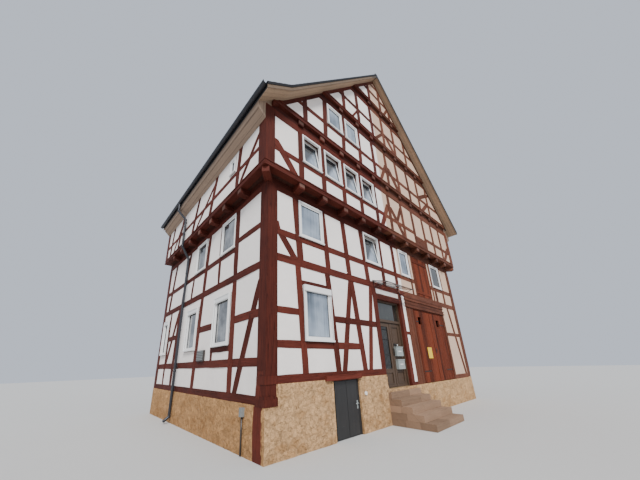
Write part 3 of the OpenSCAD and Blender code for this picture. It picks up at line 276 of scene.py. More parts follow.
def makeMasonry(name, stoneLight, stoneDark, joint):  # limed rubble: damp foot, pits, fine cracks
    material, add, calc, blend, ramp = newMaterial(name, 0.95, 0.0, 0.1)
    place = add("TexCoord", give="Object")
    cloud = add("TexNoise", place, Scale=masonryLook["cloud"], Detail=6.0, Roughness=0.7)
    damp = add("MapRange", add("SeparateXYZ", place, give="Z"), 0.0, 0.75, -0.13, 0.02)
    mixed = calc("MULTIPLY_ADD", attribute(add, "stoneTone"), masonryLook["tones"],
                 calc("ADD", cloud, damp))
    band = ramp(mixed, [(0.34, stoneDark), (0.50, stoneLight),
                        (0.72, tuple(c * masonryLook["lightest"] for c in stoneLight))])
    limed = blend(attribute(add, "stoneJoint"), joint, band)
    grit = add("TexNoise", place, give=None, Scale=masonryLook["grit"], Detail=7.0,
               Roughness=0.72)
    shaken = add("VectorMath", grit["Color"], masonryLook["shaken"], place,
                 operation="MULTIPLY_ADD")
    split = add("TexVoronoi", shaken, feature="DISTANCE_TO_EDGE",
                Scale=masonryLook["cells"])
    crack = add("MapRange", split, 0.0, 0.024, 0.5, 1.0)
    broken = add("MapRange", cloud, 0.47, 0.60, 0.05, 1.0)
    cracked = blend(broken, worn(add, limed, (0.25, 0.28), (0.02, 0.35))["Colour"], crack,
                    "MULTIPLY")
    pits = add("MapRange", grit["Fac"], 0.34, 0.46, 0.62, 1.0)
    paint(material, Base_Color=blend(1.0, cracked, pits, "MULTIPLY"),
          Normal=relief(add, calc("ADD", grit["Fac"], crack), 1.0, 0.02))
    return material


def makeBoarded(name, tone, rough, axis, pitch):  # boards whose joints lie a pitch apart
    material, add, calc, blend, ramp = newMaterial(name, rough, 0.0, 0.2)
    parts = add("SeparateXYZ", add("TexCoord", give="Object"), give=None)
    count = calc("DIVIDE", parts[axis], pitch)
    joint = ramp(calc("FRACT", count), [(0.0, 0.15), (0.03, 1.0), (0.97, 1.0), (1.0, 0.15)])
    board = add("TexWhiteNoise", noise_dimensions="1D", W=calc("FLOOR", count))
    along = add("CombineXYZ", parts["Y" if axis == "X" else "X"], parts[axis], parts["Z"])
    grain = add("Group", node_tree=plankGrain, Colour=tone, Along=along, Streaks=0.3, Cracks=0.25,
                Tone=calc("MULTIPLY_ADD", board, 0.16, -0.08))
    paint(material, Base_Color=blend(1.0, grain, joint, "MULTIPLY"),
          Normal=relief(add, joint, 0.7, 0.012))
    return material


# the pane colour ramps paint light: their pale blue tones are a painted sky reflection, beside the
# real one from the coat, over curtains behind the glass
def makePane(name, stops, shaded=False, folds=(16, 16, 0.7)):  # sky mirrored, curtains behind
    material, add, calc, blend, ramp = newMaterial(name, 0.06, 0.55, 0.6)
    place = add("TexCoord", give="Object")
    fold = add("VectorMath", place, folds, operation="MULTIPLY")
    curtain = add("TexNoise", fold, Scale=1.0, Detail=3.0)
    cloud = add("TexNoise", place, Scale=1.1, Detail=3.0)
    tone = ramp(calc("MULTIPLY_ADD", curtain, 0.35, cloud), stops)
    if shaded:  # a tipped sash shades the pane's upper corner
        # painted shade: the pane's upper corner is darkened in its colour as the tipped sash's
        # shadow
        parts = add("SeparateXYZ", add("UVMap", uv_map="grain"), give=None)
        slant = calc("MULTIPLY_ADD", parts["Y"], 1.5,
                     calc("MULTIPLY_ADD", parts["X"], -0.8, 0.5))
        tone = blend(add("MapRange", slant, 0.02, 0.24), (0.07, 0.075, 0.08), tone)
    paint(material, Base_Color=tone, Coat_Weight=0.6, Coat_Roughness=0.03)
    return material


freshRed, oldRed, barnTone = (0.088, 0.019, 0.012), (0.118, 0.040, 0.0225), (0.117, 0.0245, 0.01)
timber = makeWood("timberPaint", freshRed, 0.66, streaks=0.6, old=oldRed, gloss=0.12, patch=0.27)
endGrain = makeWood("timberEnds", (0.155, 0.078, 0.06), 0.8, streaks=0.5, cracks=0.7, gloss=0.1)
plaster = makePlaster("limePlaster", (0.88, 0.815, 0.765), (0.62, 0.435, 0.32))
masonry = makeMasonry("limedRubble", (0.57, 0.345, 0.172), (0.43, 0.245, 0.112),
                      (0.50, 0.305, 0.155))
ochreMasonry = makeMasonry("ochreRubble", (0.49, 0.268, 0.115), (0.36, 0.188, 0.078),
                           (0.43, 0.24, 0.107))
sandstone = makeFinish("plainSandstone", (0.42, 0.28, 0.15), 0.92, (0.4, 0.4), (0.03, 0.3))
stepStone = makeWood("stepStone", (0.255, 0.16, 0.102), 0.88, streaks=0.2, cracks=0.25,
                     spread=0.14, bump=0.4)
stepJoint = makeFinish("stepJoint", (0.16, 0.12, 0.09), 0.95)
floorStone = makeFinish("floorStone", (0.40, 0.36, 0.30), 0.8)
floorBoards = makeBoarded("floorBoards", (0.36, 0.22, 0.12), 0.6, "X", 0.16)
# jetty undersides: boards in a dark red like the timber paint, painted darker still as the shade
# under the jetties
shadedJettyBoards = makeBoarded("jettyBoards", (0.050, 0.017, 0.011), 0.8, "X", 0.16)
whiteFrame = makeFinish("whiteFrame", (0.80, 0.79, 0.77), 0.32, (0.5, 0.03), (0.02, 0.02), 0.05)
# dark finish of the rubber seals, also used for the painted shadow lines round the windows
sealAndShadowLine = makeFinish("sealAndShadowLine", (0.03, 0.03, 0.033), 0.6)
doorBoards = makeWood("doorBoards", barnTone, 0.7, streaks=0.6, cracks=0.8, spread=0.22,
                      gloss=0.12)
doorSolid = makeWood("doorSolid", barnTone, 0.7, streaks=0.6, cracks=0.6, uv=False, gloss=0.12)
doorBack = makeBoarded("doorBack", (0.09, 0.02, 0.010), 0.75, "X", 0.155)
entranceWood = makeWood("entranceWood", (0.075, 0.047, 0.031), 0.5, cracks=0.2, gloss=0.25)
entranceSolid = makeWood("entranceSolid", (0.072, 0.045, 0.029), 0.5, cracks=0.2, uv=False,
                         gloss=0.25)
letterMetal = makeFinish("letterMetal", (0.31, 0.34, 0.325), 0.35, speck=(0.01, 0.02), bump=0.03,
                         metal=0.2)
greyBox = makeFinish("greyBox", (0.20, 0.21, 0.205), 0.5, speck=(0.02, 0.1), bump=0.05)
canopyMetal = makeFinish("canopyMetal", (0.075, 0.065, 0.06), 0.4, metal=0.7)
ironwork = makeFinish("ironwork", (0.035, 0.03, 0.028), 0.55, speck=(0.01, 0.2), bump=0.3,
                      metal=0.6)
darkMetal = makeWood("darkMetal", (0.020, 0.0197, 0.0197), 0.38, streaks=0.5, cracks=0.0,
                     uv=False, gloss=0.4, bump=0.05)
slate = makeWood("slate", (0.040, 0.042, 0.048), 0.5, streaks=0.2, cracks=0.0, uv=False,
                 spread=0.25, gloss=0.35)
slateBase = makeFinish("slateBase", (0.032, 0.033, 0.037), 0.6, (0.3, 0.3))
soffitEaves = makeBoarded("soffitAlongEave", (0.275, 0.195, 0.14), 0.75, "X", 0.12)
soffitVerge = makeBoarded("soffitVerge", (0.42, 0.29, 0.19), 0.75, "Y", 0.115)
# barge boards: colour painted dark as the soffit's shade, and darker again on the right half as
# painted shade on the right verge
shadedBarge = makeWood("shadedBarge", (0.165, 0.115, 0.078), 0.7, streaks=0.3,
                     old=(0.10, 0.079, 0.062), gloss=0.12)
darkZinc = makeFinish("darkZinc", (0.045, 0.046, 0.052), 0.38, (0.6, 0.2), bump=0.08, metal=0.5)
vergeEdge = makeFinish("vergeEdge", (0.012, 0.012, 0.014), 0.65, (0.4, 0.3), gloss=0.15)
whitePaint = makeFinish("whitePaint", (0.72, 0.70, 0.66), 0.6, (0.3, 0.08))
yellowPlate = makeFinish("yellowPlate", (0.78, 0.50, 0.015), 0.4, (0.2, 0.05), bump=0.03)
# window panes: the light stops of each ramp are a painted sky reflection, the dark ones the
# curtains and room behind
pane = makePane("windowPane", [(0.45, (0.12, 0.15, 0.18)), (0.62, (0.27, 0.32, 0.38)),
                               (0.82, (0.50, 0.57, 0.64))])
lacePane = makePane("lacePane", [(0.42, (0.04, 0.042, 0.045)), (0.62, (0.12, 0.125, 0.13)),
                                 (0.82, (0.36, 0.37, 0.37))], folds=(9, 9, 6))
darkPane = makePane("doorPane", [(0.45, (0.014, 0.016, 0.013)), (0.62, (0.032, 0.033, 0.027)),
                                 (0.85, (0.065, 0.065, 0.055))])
tippedPane = makePane("tippedPane", [(0.45, (0.14, 0.18, 0.22)), (0.62, (0.30, 0.36, 0.43)),
                                     (0.82, (0.55, 0.62, 0.70))], True)
clearGlass, add, *_ = newMaterial("canopyGlass", 0.05, 0.0, 0.5)
smear = add("TexNoise", add("TexCoord", give="Object"), Scale=3.0, Detail=5.0)
paint(clearGlass, Base_Color=(0.90, 0.94, 0.94), Transmission_Weight=1.0, IOR=1.12,
      Roughness=add("MapRange", smear, 0.4, 0.8, 0.03, 0.35))

cadFinishes = [
    (sandstone, "plinth_front plinth_hall plinth_left plinth_right plinth_back cellar_wall"),
    (plaster, "front_infill_ground front_infill_upper gable_infill left_infill right_infill "
              "back_infill"),
    (floorStone, "ground_floor"), (floorBoards, "floor_first"),
    (shadedJettyBoards, "floor_second floor_attic"),
    (doorBack, "loading_hatch barn_leaf_left barn_leaf_right"), (doorSolid, "barn_frame"),
    (entranceSolid, "entrance_frame entrance_leaf_left entrance_leaf_right"),
    (darkPane, "entrance_glass"), (letterMetal, "letter_boxes"), (clearGlass, "canopy_glass"),
    (stepStone, "entrance_steps"), (darkMetal, "cellar_frame cellar_door"),
    (slateBase, "roof_left roof_right ridge_cap"), (soffitVerge, "verge_boards"),
    (soffitEaves, "eaves_boxes"), (darkZinc, "gutters"), (canopyMetal, "canopy_brackets"),
    (pane, "side_window_glass front_window_glass"),
    (whiteFrame, "front_window_frames side_window_frames")]
finishOf = {name: finish for finish, names in cadFinishes for name in names.split()}
for name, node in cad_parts.items():
    node.data.materials.clear()
    node.data.materials.append(finishOf.get(name, timber))
print("finishes on the solids")


# places on a wall: along it, up, and out past its face
def onWall(wall, face, along, up, out):
    reach = face + out
    spots = {"front": (along, -reach), "back": (along, houseDeep + reach),
             "left": (-reach, along), "right": (houseWide + reach, along)}
    return at(*spots[wall], up)


def outward(wall, face, out=1):
    return onWall(wall, face, 0, 0, out) - onWall(wall, face, 0, 0, 0)


# corners of a member's face, in millimetres: the two of its start, then the two of its end
def upright(x0, x1, z0, z1):
    return [(x0, z0), (x1, z0), (x0, z1), (x1, z1)]


def level(x0, x1, z0, z1):
    return [(x0, z0), (x0, z1), (x1, z0), (x1, z1)]


def leaning(foot, head, wide):
    half = wide / 2
    return [(foot[0] - half, foot[1]), (foot[0] + half, foot[1]),
            (head[0] - half, head[1]), (head[0] + half, head[1])]


def newShape():
    shape = bmesh.new()
    shape.loops.layers.uv.new("grain")
    shape.faces.layers.float.new("beamTone")
    return shape


def newBlock():  # a unit cube, to be shaped into one member
    block = newShape()
    bmesh.ops.create_cube(block, size=1.0)
    return block


def sway(x, y, z):
    return noise.noise(Vector((x, y, z)))


scratch = bpy.data.meshes.new("scratchMesh")


def pour(block, shape):
    block.to_mesh(scratch)
    block.free()
    shape.from_mesh(scratch)


def roundOff(block, edges, offset, segments=2):
    bmesh.ops.bevel(block, geom=edges, offset=offset, segments=segments, profile=0.5,
                    affect="EDGES", material=-1)


def layGrain(block, start, end, across, out, tone, finish, slide=20):
    uv = block.loops.layers.uv["grain"]
    toneLayer = block.faces.layers.float["beamTone"]
    run = (end - start).normalized()
    shift = Vector((dice.random() * slide, dice.random() * slide))
    for face in block.faces:
        face[toneLayer] = tone
        face.material_index = finish
        for loop in face.loops:
            offset = loop.vert.co - start
            loop[uv].uv = shift + Vector((offset.dot(run), offset.dot(across) + offset.dot(out)))


# a hewn timber: its face wanders by wave, its long front edges are rounded by edge; a tilt is
# (height, slope) of a sash that leans inwards
beamLook = {"step": 0.3, "steps": 14, "spare": 0.0015, "bends": 1.9, "twist": 7, "ripples": 3}


def beam(shape, wall, face, quad, depth=0.12, back=0.002, edge=0.008, wave=0.006, finish=0,
         tone=None, tilt=None, allEdges=False, slide=20):
    a, b, c, d = [Vector(p) * mm for p in quad]
    spare = beamLook["spare"]
    length = ((a + b) / 2 - (c + d) / 2).length
    steps = max(1, min(beamLook["steps"], round(length / beamLook["step"]))) if wave else 1
    block = newBlock()
    runs = [e for e in block.edges if abs(e.verts[0].co.z - e.verts[1].co.z) > 0.5]
    if steps > 1:
        bmesh.ops.subdivide_edges(block, edges=runs, cuts=steps - 1)
    longEdges = [e for e in block.edges if (e.verts[0].co - e.verts[1].co).xy.length < 0.01
                 and abs(e.verts[0].co.x) > 0.4 and (allEdges or e.verts[0].co.y > 0.4)]
    seed = dice.random() * 90
    for vert in block.verts:
        side, out, t = vert.co.x, vert.co.y, vert.co.z + 0.5
        low, high = a.lerp(c, t), b.lerp(d, t)
        place = low.lerp(high, side + 0.5)
        if wave:
            swing = sway(seed + t * length * beamLook["bends"], side * beamLook["twist"], 0)
            swell = spare + wave * (0.5 + 0.5 * swing)
            place += (high - low).normalized() * swell * (1 if side > 0 else -1)
        lift = -back if out > 0 else -depth
        if wave and out > 0:
            lift += spare * sway(seed, t * length * beamLook["ripples"], side)
        if tilt:
            lift -= (place.y - tilt[0]) * tilt[1]
        vert.co = onWall(wall, face, place.x, place.y, lift)
    start, end = [onWall(wall, face, *((p + q) / 2), 0) for p, q in ((a, b), (c, d))]
    across = onWall(wall, face, *b, 0) - onWall(wall, face, *a, 0)
    if edge:
        roundOff(block, longEdges, edge)
    layGrain(block, start, end, across.normalized(), outward(wall, face),
             dice.uniform(-1, 1) if tone is None else tone, finish, slide)
    pour(block, shape)


def bar(shape, wall, face, quad, back, depth, edge=0.004, **more):  # a plain straight bar
    beam(shape, wall, face, quad, back=back, depth=depth, edge=edge,
         **{"wave": 0, "tone": 0.0, **more})


def toObject(name, shape, finishes):
    mesh = bpy.data.meshes.new(name)
    shape.to_mesh(mesh)
    shape.free()
    for finish in finishes:
        mesh.materials.append(finish)
    return newObject(name, mesh)


def endPiece(name, shape, finishes, body="house", stands=()):
    bmesh.ops.recalc_face_normals(shape, faces=shape.faces)
    piece = toObject(name, shape, finishes)
    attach(piece, body)
    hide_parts(*stands)


# members as they lie in each wall, in millimetres: uprights [foot, head, width], rails
# [from, to, bottom, height], struts [foot, head, width], windows [middle, bottom, width, height]
def layRails(shape, wall, face, rails, back=0.004, **more):
    for x0, x1, z, high in rails:
        beam(shape, wall, face, level(x0, x1, z, z + high), back=back, **more)


strutLook = {"back": 0.006, "spread": 0.0015}


def layStruts(shape, wall, face, struts):
    for strut in struts:
        beam(shape, wall, face, leaning(*strut),
             back=strutLook["back"] + dice.random() * strutLook["spread"])


slack = 60  # how far a post may reach behind a window, and the least length of one that is laid


def layPosts(shape, wall, face, posts, z0, z1, windows=(), back=0.002, **more):
    for foot, head, wide in posts:
        def middle(z):
            return foot + (head - foot) * (z - z0) / (z1 - z0)

        spans = [(z0, z1)]
        for mid, bottom, across, high in windows:
            if abs(middle(bottom + high / 2) - mid) < (across + wide) / 2 - slack:
                cut = ([(a, min(b, bottom)) for a, b in spans]
                       + [(max(a, bottom + high), b) for a, b in spans])
                spans = [(a, b) for a, b in cut if b - a > slack]
        for low, high in spans:
            beam(shape, wall, face, leaning((middle(low), low), (middle(high), high), wide),
                 back=back, **more)


def rod(shape, start, end, radius, sides=10, finish=0):
    block = newShape()
    run = end - start
    turn = Vector((0, 0, 1)).rotation_difference(run).to_matrix().to_4x4()
    bmesh.ops.create_cone(block, cap_ends=True, segments=sides, radius1=radius, radius2=radius,
                          depth=run.length, matrix=Matrix.Translation((start + end) / 2) @ turn)
    side = turn.to_3x3() @ Vector((1, 0, 0))
    layGrain(block, start, end, side, side.cross(run.normalized()), 0.0, finish)
    for face in block.faces:
        face.smooth = len(face.verts) == 4
    pour(block, shape)


pegLook = {"radius": 0.011, "proud": 0.006, "sunk": 0.014, "sides": 8, "stray": (0.2, 15)}


def pegRow(shape, wall, face, posts, z0, z1, levels):
    aside, above = pegLook["stray"]
    for foot, head, wide in posts:
        for z in levels:
            if z0 - 10 <= z <= z1 + 10 and wide > 100:
                along = foot + (head - foot) * (z - z0) / (z1 - z0)
                spot = ((along + dice.uniform(-aside, aside) * wide) * mm,
                        (z + dice.uniform(-above, above)) * mm)
                rod(shape, onWall(wall, face, *spot, -pegLook["sunk"]),
                    onWall(wall, face, *spot, pegLook["proud"]), pegLook["radius"],
                    pegLook["sides"])


def framer(shape, wall, face=0):
    def bind(lay):
        return lambda *values, **more: lay(shape, wall, face, *values, **more)
    return [bind(lay) for lay in (layRails, layPosts, layStruts, pegRow)]


def plumb(wide, *places):
    return [[x, x, wide] for x in places]


second, third, fourth, fifth = 0.28, 0.345, 0.41, 0.475  # how far each storey's face stands out

# heights of the beams that part the storeys, in millimetres
plinthTop, sillTop, girt, jettyPlate = 880, 1410, 3830, 5710
secondSill, secondFoot, secondPlate, secondTop = 6030, 6210, 7750, 7980

groundFrame = {
    "sills": [[275, 4130, 1260, 150], [5530, 5950, 880, 90], [9250, 10625, 880, 150]],
    "rails": [[275, 3050, 1940, 140], [275, 1000, 2650, 130], [2000, 4130, 2590, 140],
              [1000, 2000, 3385, 100], [5530, 6450, 2470, 80], [9100, 10900, 2590, 110]],
    "posts": [[1040, 900, 160], [2105, 1920, 175]],
    "battens": plumb(156, 6032) + plumb(158, 6199, 6366) + plumb(150, 9175),
    "struts": [[(2325, 1410), (2880, 3830), 170], [(3170, 1410), (2930, 3830), 190],
               [(3415, 1410), (3880, 3830), 160], [(10500, 880), (9900, 3830), 170]]}
# posts, the foot they stand on, and the heights of their pegs
groundPosts = [(groundFrame["posts"], sillTop, [1490, 1990, 2060, 3760]),
               (plumb(190, 4035), sillTop, [1500, 2640, 2700, 3700]),
               (plumb(190, 5625), plinthTop, [1000, 2510, 3700])]
low = newShape()
rails, posts, struts, pegs = framer(low, "front")
rails(groundFrame["sills"], back=0.0)
rails(groundFrame["rails"])
for group, foot, _ in groundPosts:
    posts(group, foot, girt)
posts(groundFrame["battens"], plinthTop, 3450, wave=0.001)
struts(groundFrame["struts"])
for group, foot, heights in groundPosts:
    pegs(group, foot, girt, heights)
endPiece("groundTimbers", low, [timber], stands=["front_frame_ground"])
print("ground storey framed")

firstPosts = [[1000, 870, 190], [1990, 1880, 170], [2880, 2760, 180], [3810, 3660, 190],
              *plumb(170, 4740, 5600), *plumb(100, 6780, 8685), *plumb(160, 9775),
              *plumb(70, 7065, 8435)]
firstWindows = [[1410, 4650, 880, 1060], [4215, 4650, 870, 1060], [6380, 4650, 700, 1060],
                [9225, 4650, 930, 1060]]
secondPosts = plumb(170, 880, 1745, 2650, 3545, 4460, 5400, 6380, 7300, 8280, 9170, 10070)
secondWindows = [[1305, 6780, 720, 970], [2200, 6780, 760, 970], [3115, 6780, 750, 970],
                 [4030, 6780, 770, 970]]


def sillAndPlate(rails, end):  # of the second storey
    rails([[-5, end, secondSill, 180]], back=0.0, depth=0.18)
    rails([[-5, end, secondPlate, 230]], back=0.0)


upper = newShape()
rails, posts, struts, pegs = framer(upper, "front")
rails([[275, 10625, girt, 175], [275, 10625, jettyPlate, 150]], back=0.0)
rails([[275, 7100, 4500, 150], [8400, 10625, 4500, 150]])
posts(firstPosts, girt, jettyPlate, firstWindows)
posts(plumb(200, 8970), girt, 4500)
struts([[(800, 4005), (370, 4560), 220], [(330, 4640), (275, 4850), 110]])
pegs(firstPosts, girt, jettyPlate, [3890, 3950, 4550, 4605, 5780])
rails, posts, struts, pegs = framer(upper, "front", second)
sillAndPlate(rails, 10905)
rails([[-5, 7300, 6640, 140], [8280, 10905, 6640, 140]])
rails([[7300, 8280, z, 134] for z in (6210, 6347, 6484)], wave=0.001)
posts(secondPosts, secondFoot, secondPlate)
struts([[(640, 6210), (-20, 7000), 270], [(4730, 6210), (5330, 7280), 230],
        [(6270, 6210), (5470, 7280), 260], [(5920, 6800), (6340, 7520), 180],
        [(10260, 6210), (10920, 7000), 270]])
pegs(secondPosts, secondSill, secondPlate, [6100, 6150, 6680, 6740, 7820])
endPiece("upperTimbers", upper, [timber], stands=["front_frame_upper"])
print("upper storeys framed")

# the roof's underside in millimetres: its ridge, the kick over the left eave, and their falls
ridgeX, ridgeZ, kickX, kickZ = 5450, 14050, 250, 8450
fallLeft, fallRight, fallKick = 1.07692, 1.01148, 0.76
gableEnds = -100, 11000
underRoof = {"square": 90, "cut": 80}  # room left over posts with square and with cut heads
rafterLook = {"start": 8300, "left": 176, "right": 188,
              "eave": [(11000, 8436), (11000, 8246)],
              "kick": [(-100, 8184), (-100, 7994), (kickX, kickZ), (kickX, 8260)]}


def roofUnder(x):
    if x > ridgeX:
        return ridgeZ - (x - ridgeX) * fallRight
    if x > kickX:
        return ridgeZ - (ridgeX - x) * fallLeft
    return kickZ - (kickX - x) * fallKick


def gableReach(z, inset=0):  # how far the gable reaches at a height
    left = ridgeX - (ridgeZ - z) / fallLeft
    if z < kickZ:
        left = kickX - (kickZ - z) / fallKick
    right = ridgeX + (ridgeZ - z) / fallRight
    return max(gableEnds[0], left + inset), min(gableEnds[1], right - inset)


def gableRail(shape, wall, face, z, high, inset=20, **more):
    (a, d), (b, c) = gableReach(z, inset), gableReach(z + high, inset)
    beam(shape, wall, face, [(a, z), (b, z + high), (d, z), (c, z + high)], **more)


def gablePosts(shape, wall, face, posts, z0, z1, windows=()):
    for foot, head, wide in posts:
        top = min(z1, roofUnder(head) - underRoof["square"])
        if top == z1 or windows:
            layPosts(shape, wall, face, [[foot, head, wide]], z0, top, windows)
        else:
            ends = [(x, roofUnder(x) - underRoof["cut"])
                    for x in (head - wide / 2, head + wide / 2)]
            beam(shape, wall, face, [(foot - wide / 2, z0), (foot + wide / 2, z0), *ends])


def rafters(shape, wall, face, z0, z1):
    start, left, right = [rafterLook[key] for key in ("start", "left", "right")]
    low, high = max(z0, start), min(z1, ridgeZ)
    (_, lowRight), (highLeft, highRight) = gableReach(low), gableReach(high)
    lowLeft = ridgeX - (ridgeZ - low) / fallLeft
    quads = [[(lowLeft, low), (lowLeft + left, low), (highLeft, high), (highLeft + left, high)]]
    upperEnd = [(highRight, high), (highRight - right, high)]
    if low == start:
        quads += [[*rafterLook["eave"], *upperEnd], rafterLook["kick"]]
    else:
        quads.append([(lowRight, low), (lowRight - right, low), *upperEnd])
    for quad in quads:
        beam(shape, wall, face, quad, back=0.001)


atticPosts = [[1060, 1060, 170], [1910, 1980, 170], [2800, 2900, 170], [3730, 3790, 170],
              *plumb(170, 4660, 5600), [6480, 6430, 170], [7430, 7390, 170],
              *plumb(170, 8330, 9350)]
atticWindows = [[2440, 8970, 740, 890], [3340, 8970, 720, 890]]
loftPosts = plumb(170, 3010, 3900, 4830, 5700, 6600, 7600)
topPosts = plumb(170, 4890, 5750, 6500)
gable = newShape()
for face, z0, z1, group, rail in ((third, 8150, 10010, atticPosts, 8830),
                                  (fourth, 10180, 12030, loftPosts, 10960),
                                  (fifth, 12200, ridgeZ, topPosts, 12920)):
    gableRail(gable, "front", face, z0, 180, inset=2, back=0.0, depth=0.18)
    if z1 < ridgeZ:
        gableRail(gable, "front", face, z1 - 150, 150, inset=12, back=0.0)
    gableRail(gable, "front", face, rail, 140, back=0.004)
    gablePosts(gable, "front", face, group, z0 + 180, z1 - 150 if z1 < ridgeZ else ridgeZ)
    rafters(gable, "front", face, z0, z1)
    pegRow(gable, "front", face, [p for p in group if roofUnder(p[0]) > z1], z0, z1,
           [z0 + 60, z0 + 120, rail + 40, rail + 100, z1 - 80])
gableRail(gable, "front", fifth, 13540, 120, back=0.003)
layStruts(gable, "front", third, [
    [(5050, 8330), (5560, 9250), 170], [(6350, 8330), (5700, 9250), 300],
    [(8580, 8330), (9230, 8890), 280], [(8390, 8950), (9590, 9610), 340]])
layStruts(gable, "front", fourth, [
    [(3500, 10360), (3900, 10960), 90], [(5060, 10360), (5640, 10960), 170],
    [(6480, 10360), (5850, 11060), 300]])
layStruts(gable, "front", fifth, [[(6050, 12380), (6400, 12920), 150]])
endPiece("gableTimbers", gable, [timber], stands=["gable_frame"])
print("gable framed")

sideFrame = {
    "plates": [[275, 7525, 900, 150], [275, 7525, 3650, 175], [275, 7525, 5710, 150]],
    "rails": [[275, 7525, 1590, 165], [1450, 7525, 4500, 150], [275, 1450, 4690, 140],
              [275, 1450, 2570, 170], [2650, 3640, 2570, 170], [5780, 6700, 2570, 150],
              [1450, 2650, 1955, 140]],
    "ground": [[1450, 1450, 190], [3740, 3560, 200], [5780, 5640, 200], [6700, 6670, 120]],
    "first": [[1450, 1450, 190], [2450, 2450, 110], [3520, 3360, 190], [5560, 5150, 180],
              [7150, 6780, 180]],
    "second": [[1130, 930, 160], [2920, 2430, 160], [4480, 3900, 160], [6080, 5560, 160],
               [7150, 6800, 150]],
    "firstWindows": [[1980, 4650, 860, 1060], [3990, 4650, 860, 1060]]}
for wall in ("left", "right"):
    side = newShape()
    rails, posts, struts, pegs = framer(side, wall)
    rails(sideFrame["plates"], back=0.0)
    rails(sideFrame["rails"])
    posts(sideFrame["ground"], 1050, 3650, [[7080, 2095, 560, 1290]])
    posts(plumb(120, 2570), 1755, 2095)
    posts(sideFrame["first"], 3825, jettyPlate, sideFrame["firstWindows"])
    posts([[4620, 4520, 110]], 3825, 4500)
    struts([[(1200, 1050), (240, 3400), 200], [(6620, 1755), (5700, 3650), 190]])
    upperRails, upperPosts, upperStruts, upperPegs = framer(side, wall, second)
    sillAndPlate(upperRails, 7525)
    upperRails([[-5, 7525, 6640, 120]])
    upperPosts(sideFrame["second"], secondFoot, secondPlate)
    upperStruts([[(930, 6210), (-130, 7300), 170], [(4080, 6210), (2600, 7300), 180],
                 [(6650, 6210), (5650, 7300), 170]])
    pegs(sideFrame["ground"], 1050, 3650, [1640, 1700, 3700])
    pegs(sideFrame["first"], 3650, jettyPlate, [3710, 3770, 4550, 5780])
    upperPegs(sideFrame["second"], secondSill, secondPlate, [6100, 6700, 7830])
    endPiece(wall + "Timbers", side, [timber], stands=[wall + "_frame"])
print("eaves sides framed")

backWindows = [[2250, 2095, 880, 1290], [8650, 2095, 880, 1290], [2250, 4650, 860, 1060],
               [5450, 4650, 860, 1060], [8650, 4650, 860, 1060], [3550, 6780, 860, 970],
               [7350, 6780, 860, 970], [5450, 8970, 730, 890]]
backPosts = plumb(170, 1600, 2900, 4200, 5450, 6700, 8000, 9300)
rear = newShape()
rails, posts, struts, pegs = framer(rear, "back")
rails([[275, 10625, 900, 150], [275, 10625, 3650, 180], [275, 10625, 5710, 150],
       [180, 10720, 5860, 170], [-5, 10905, 6030, 180], [-5, 10905, 7750, 230]], back=0.0)
rails([[275, 10625, 1940, 140], [275, 10625, 4500, 140], [-5, 10905, 6640, 140]])
for z, high in ((7980, 170), (8150, 180), (9860, 180), (10180, 180), (11880, 180), (12200, 180)):
    gableRail(rear, "back", 0, z, high, inset=4, back=0.001)
for z in (8830, 10960, 12920):
    gableRail(rear, "back", 0, z, 140, back=0.004)
for z0, z1 in ((1050, 3650), (3825, jettyPlate), (secondFoot, secondPlate)):
    posts(backPosts, z0, z1, backWindows)
gablePosts(rear, "back", 0, backPosts, 8330, ridgeZ, backWindows)
for turned in (lambda x: x, lambda x: 10900 - x):
    struts([[(turned(1500), 1050), (turned(500), 3650), 180],
            [(turned(900), 6210), (turned(0), 7750), 180],
            [(turned(2800), 8330), (turned(1700), 9860), 180]])
rafters(rear, "back", 0, 8150, ridgeZ)
pegs(backPosts, 900, 9900, [960, 3700, 4560, 5780, 6100, 7850])
endPiece("backTimbers", rear, [timber], stands=["back_frame"])
print("back wall framed")


# square posts at the corners, with the thick moulded foot and the collar of the front one
def squarePost(shape, x, y, w, z0, z1, edge=0.016):
    beam(shape, "front", -y, upright(x * 1000, x * 1000 + w * 1000, z0, z1), depth=w,
         back=0.0, edge=edge, wave=0.003, allEdges=True)


postWide = 0.275
cornerShape = newShape()
for x, y, foot in ((0, 0, 880), (10.625, 0, 900), (0, 7.525, 900), (10.625, 7.525, 900)):
    squarePost(cornerShape, x, y, postWide, foot, 5860)
for x in (-0.28, 10.905):
    for y in (-0.28, 7.525):
        squarePost(cornerShape, x, y, postWide, secondSill, secondTop)
squarePost(cornerShape, -0.012, -0.014, 0.30, 880, 1010, edge=0.02)
squarePost(cornerShape, -0.009, -0.010, 0.294, 1010, 1060, edge=0.02)
squarePost(cornerShape, -0.010, -0.012, 0.296, 1262, 1412, edge=0.018)
beam(cornerShape, "left", 0.010, upright(90, 350, 0, 880), depth=0.16, back=0.0, edge=0.014)
beam(cornerShape, "left", 0.006, [(60, 880), (330, 880), (70, 1500), (240, 1500)], depth=0.05,
     back=0.0, edge=0.014)
endPiece("cornerTimbers", cornerShape, [timber], stands=["corner_posts"])
print("corner posts stand")

# joist ends: square heads whose lower edge is rounded; the sawn end is paler
joistLook = {"wide": 0.18, "high": 0.17, "spread": 0.003, "nose": 0.05, "rim": 0.006,
             "root": -0.06, "storey": 0.279, "attic": 0.064, "askew": (-0.316, 0.1),
             "middle": 5.945, "rounded": 0.012}


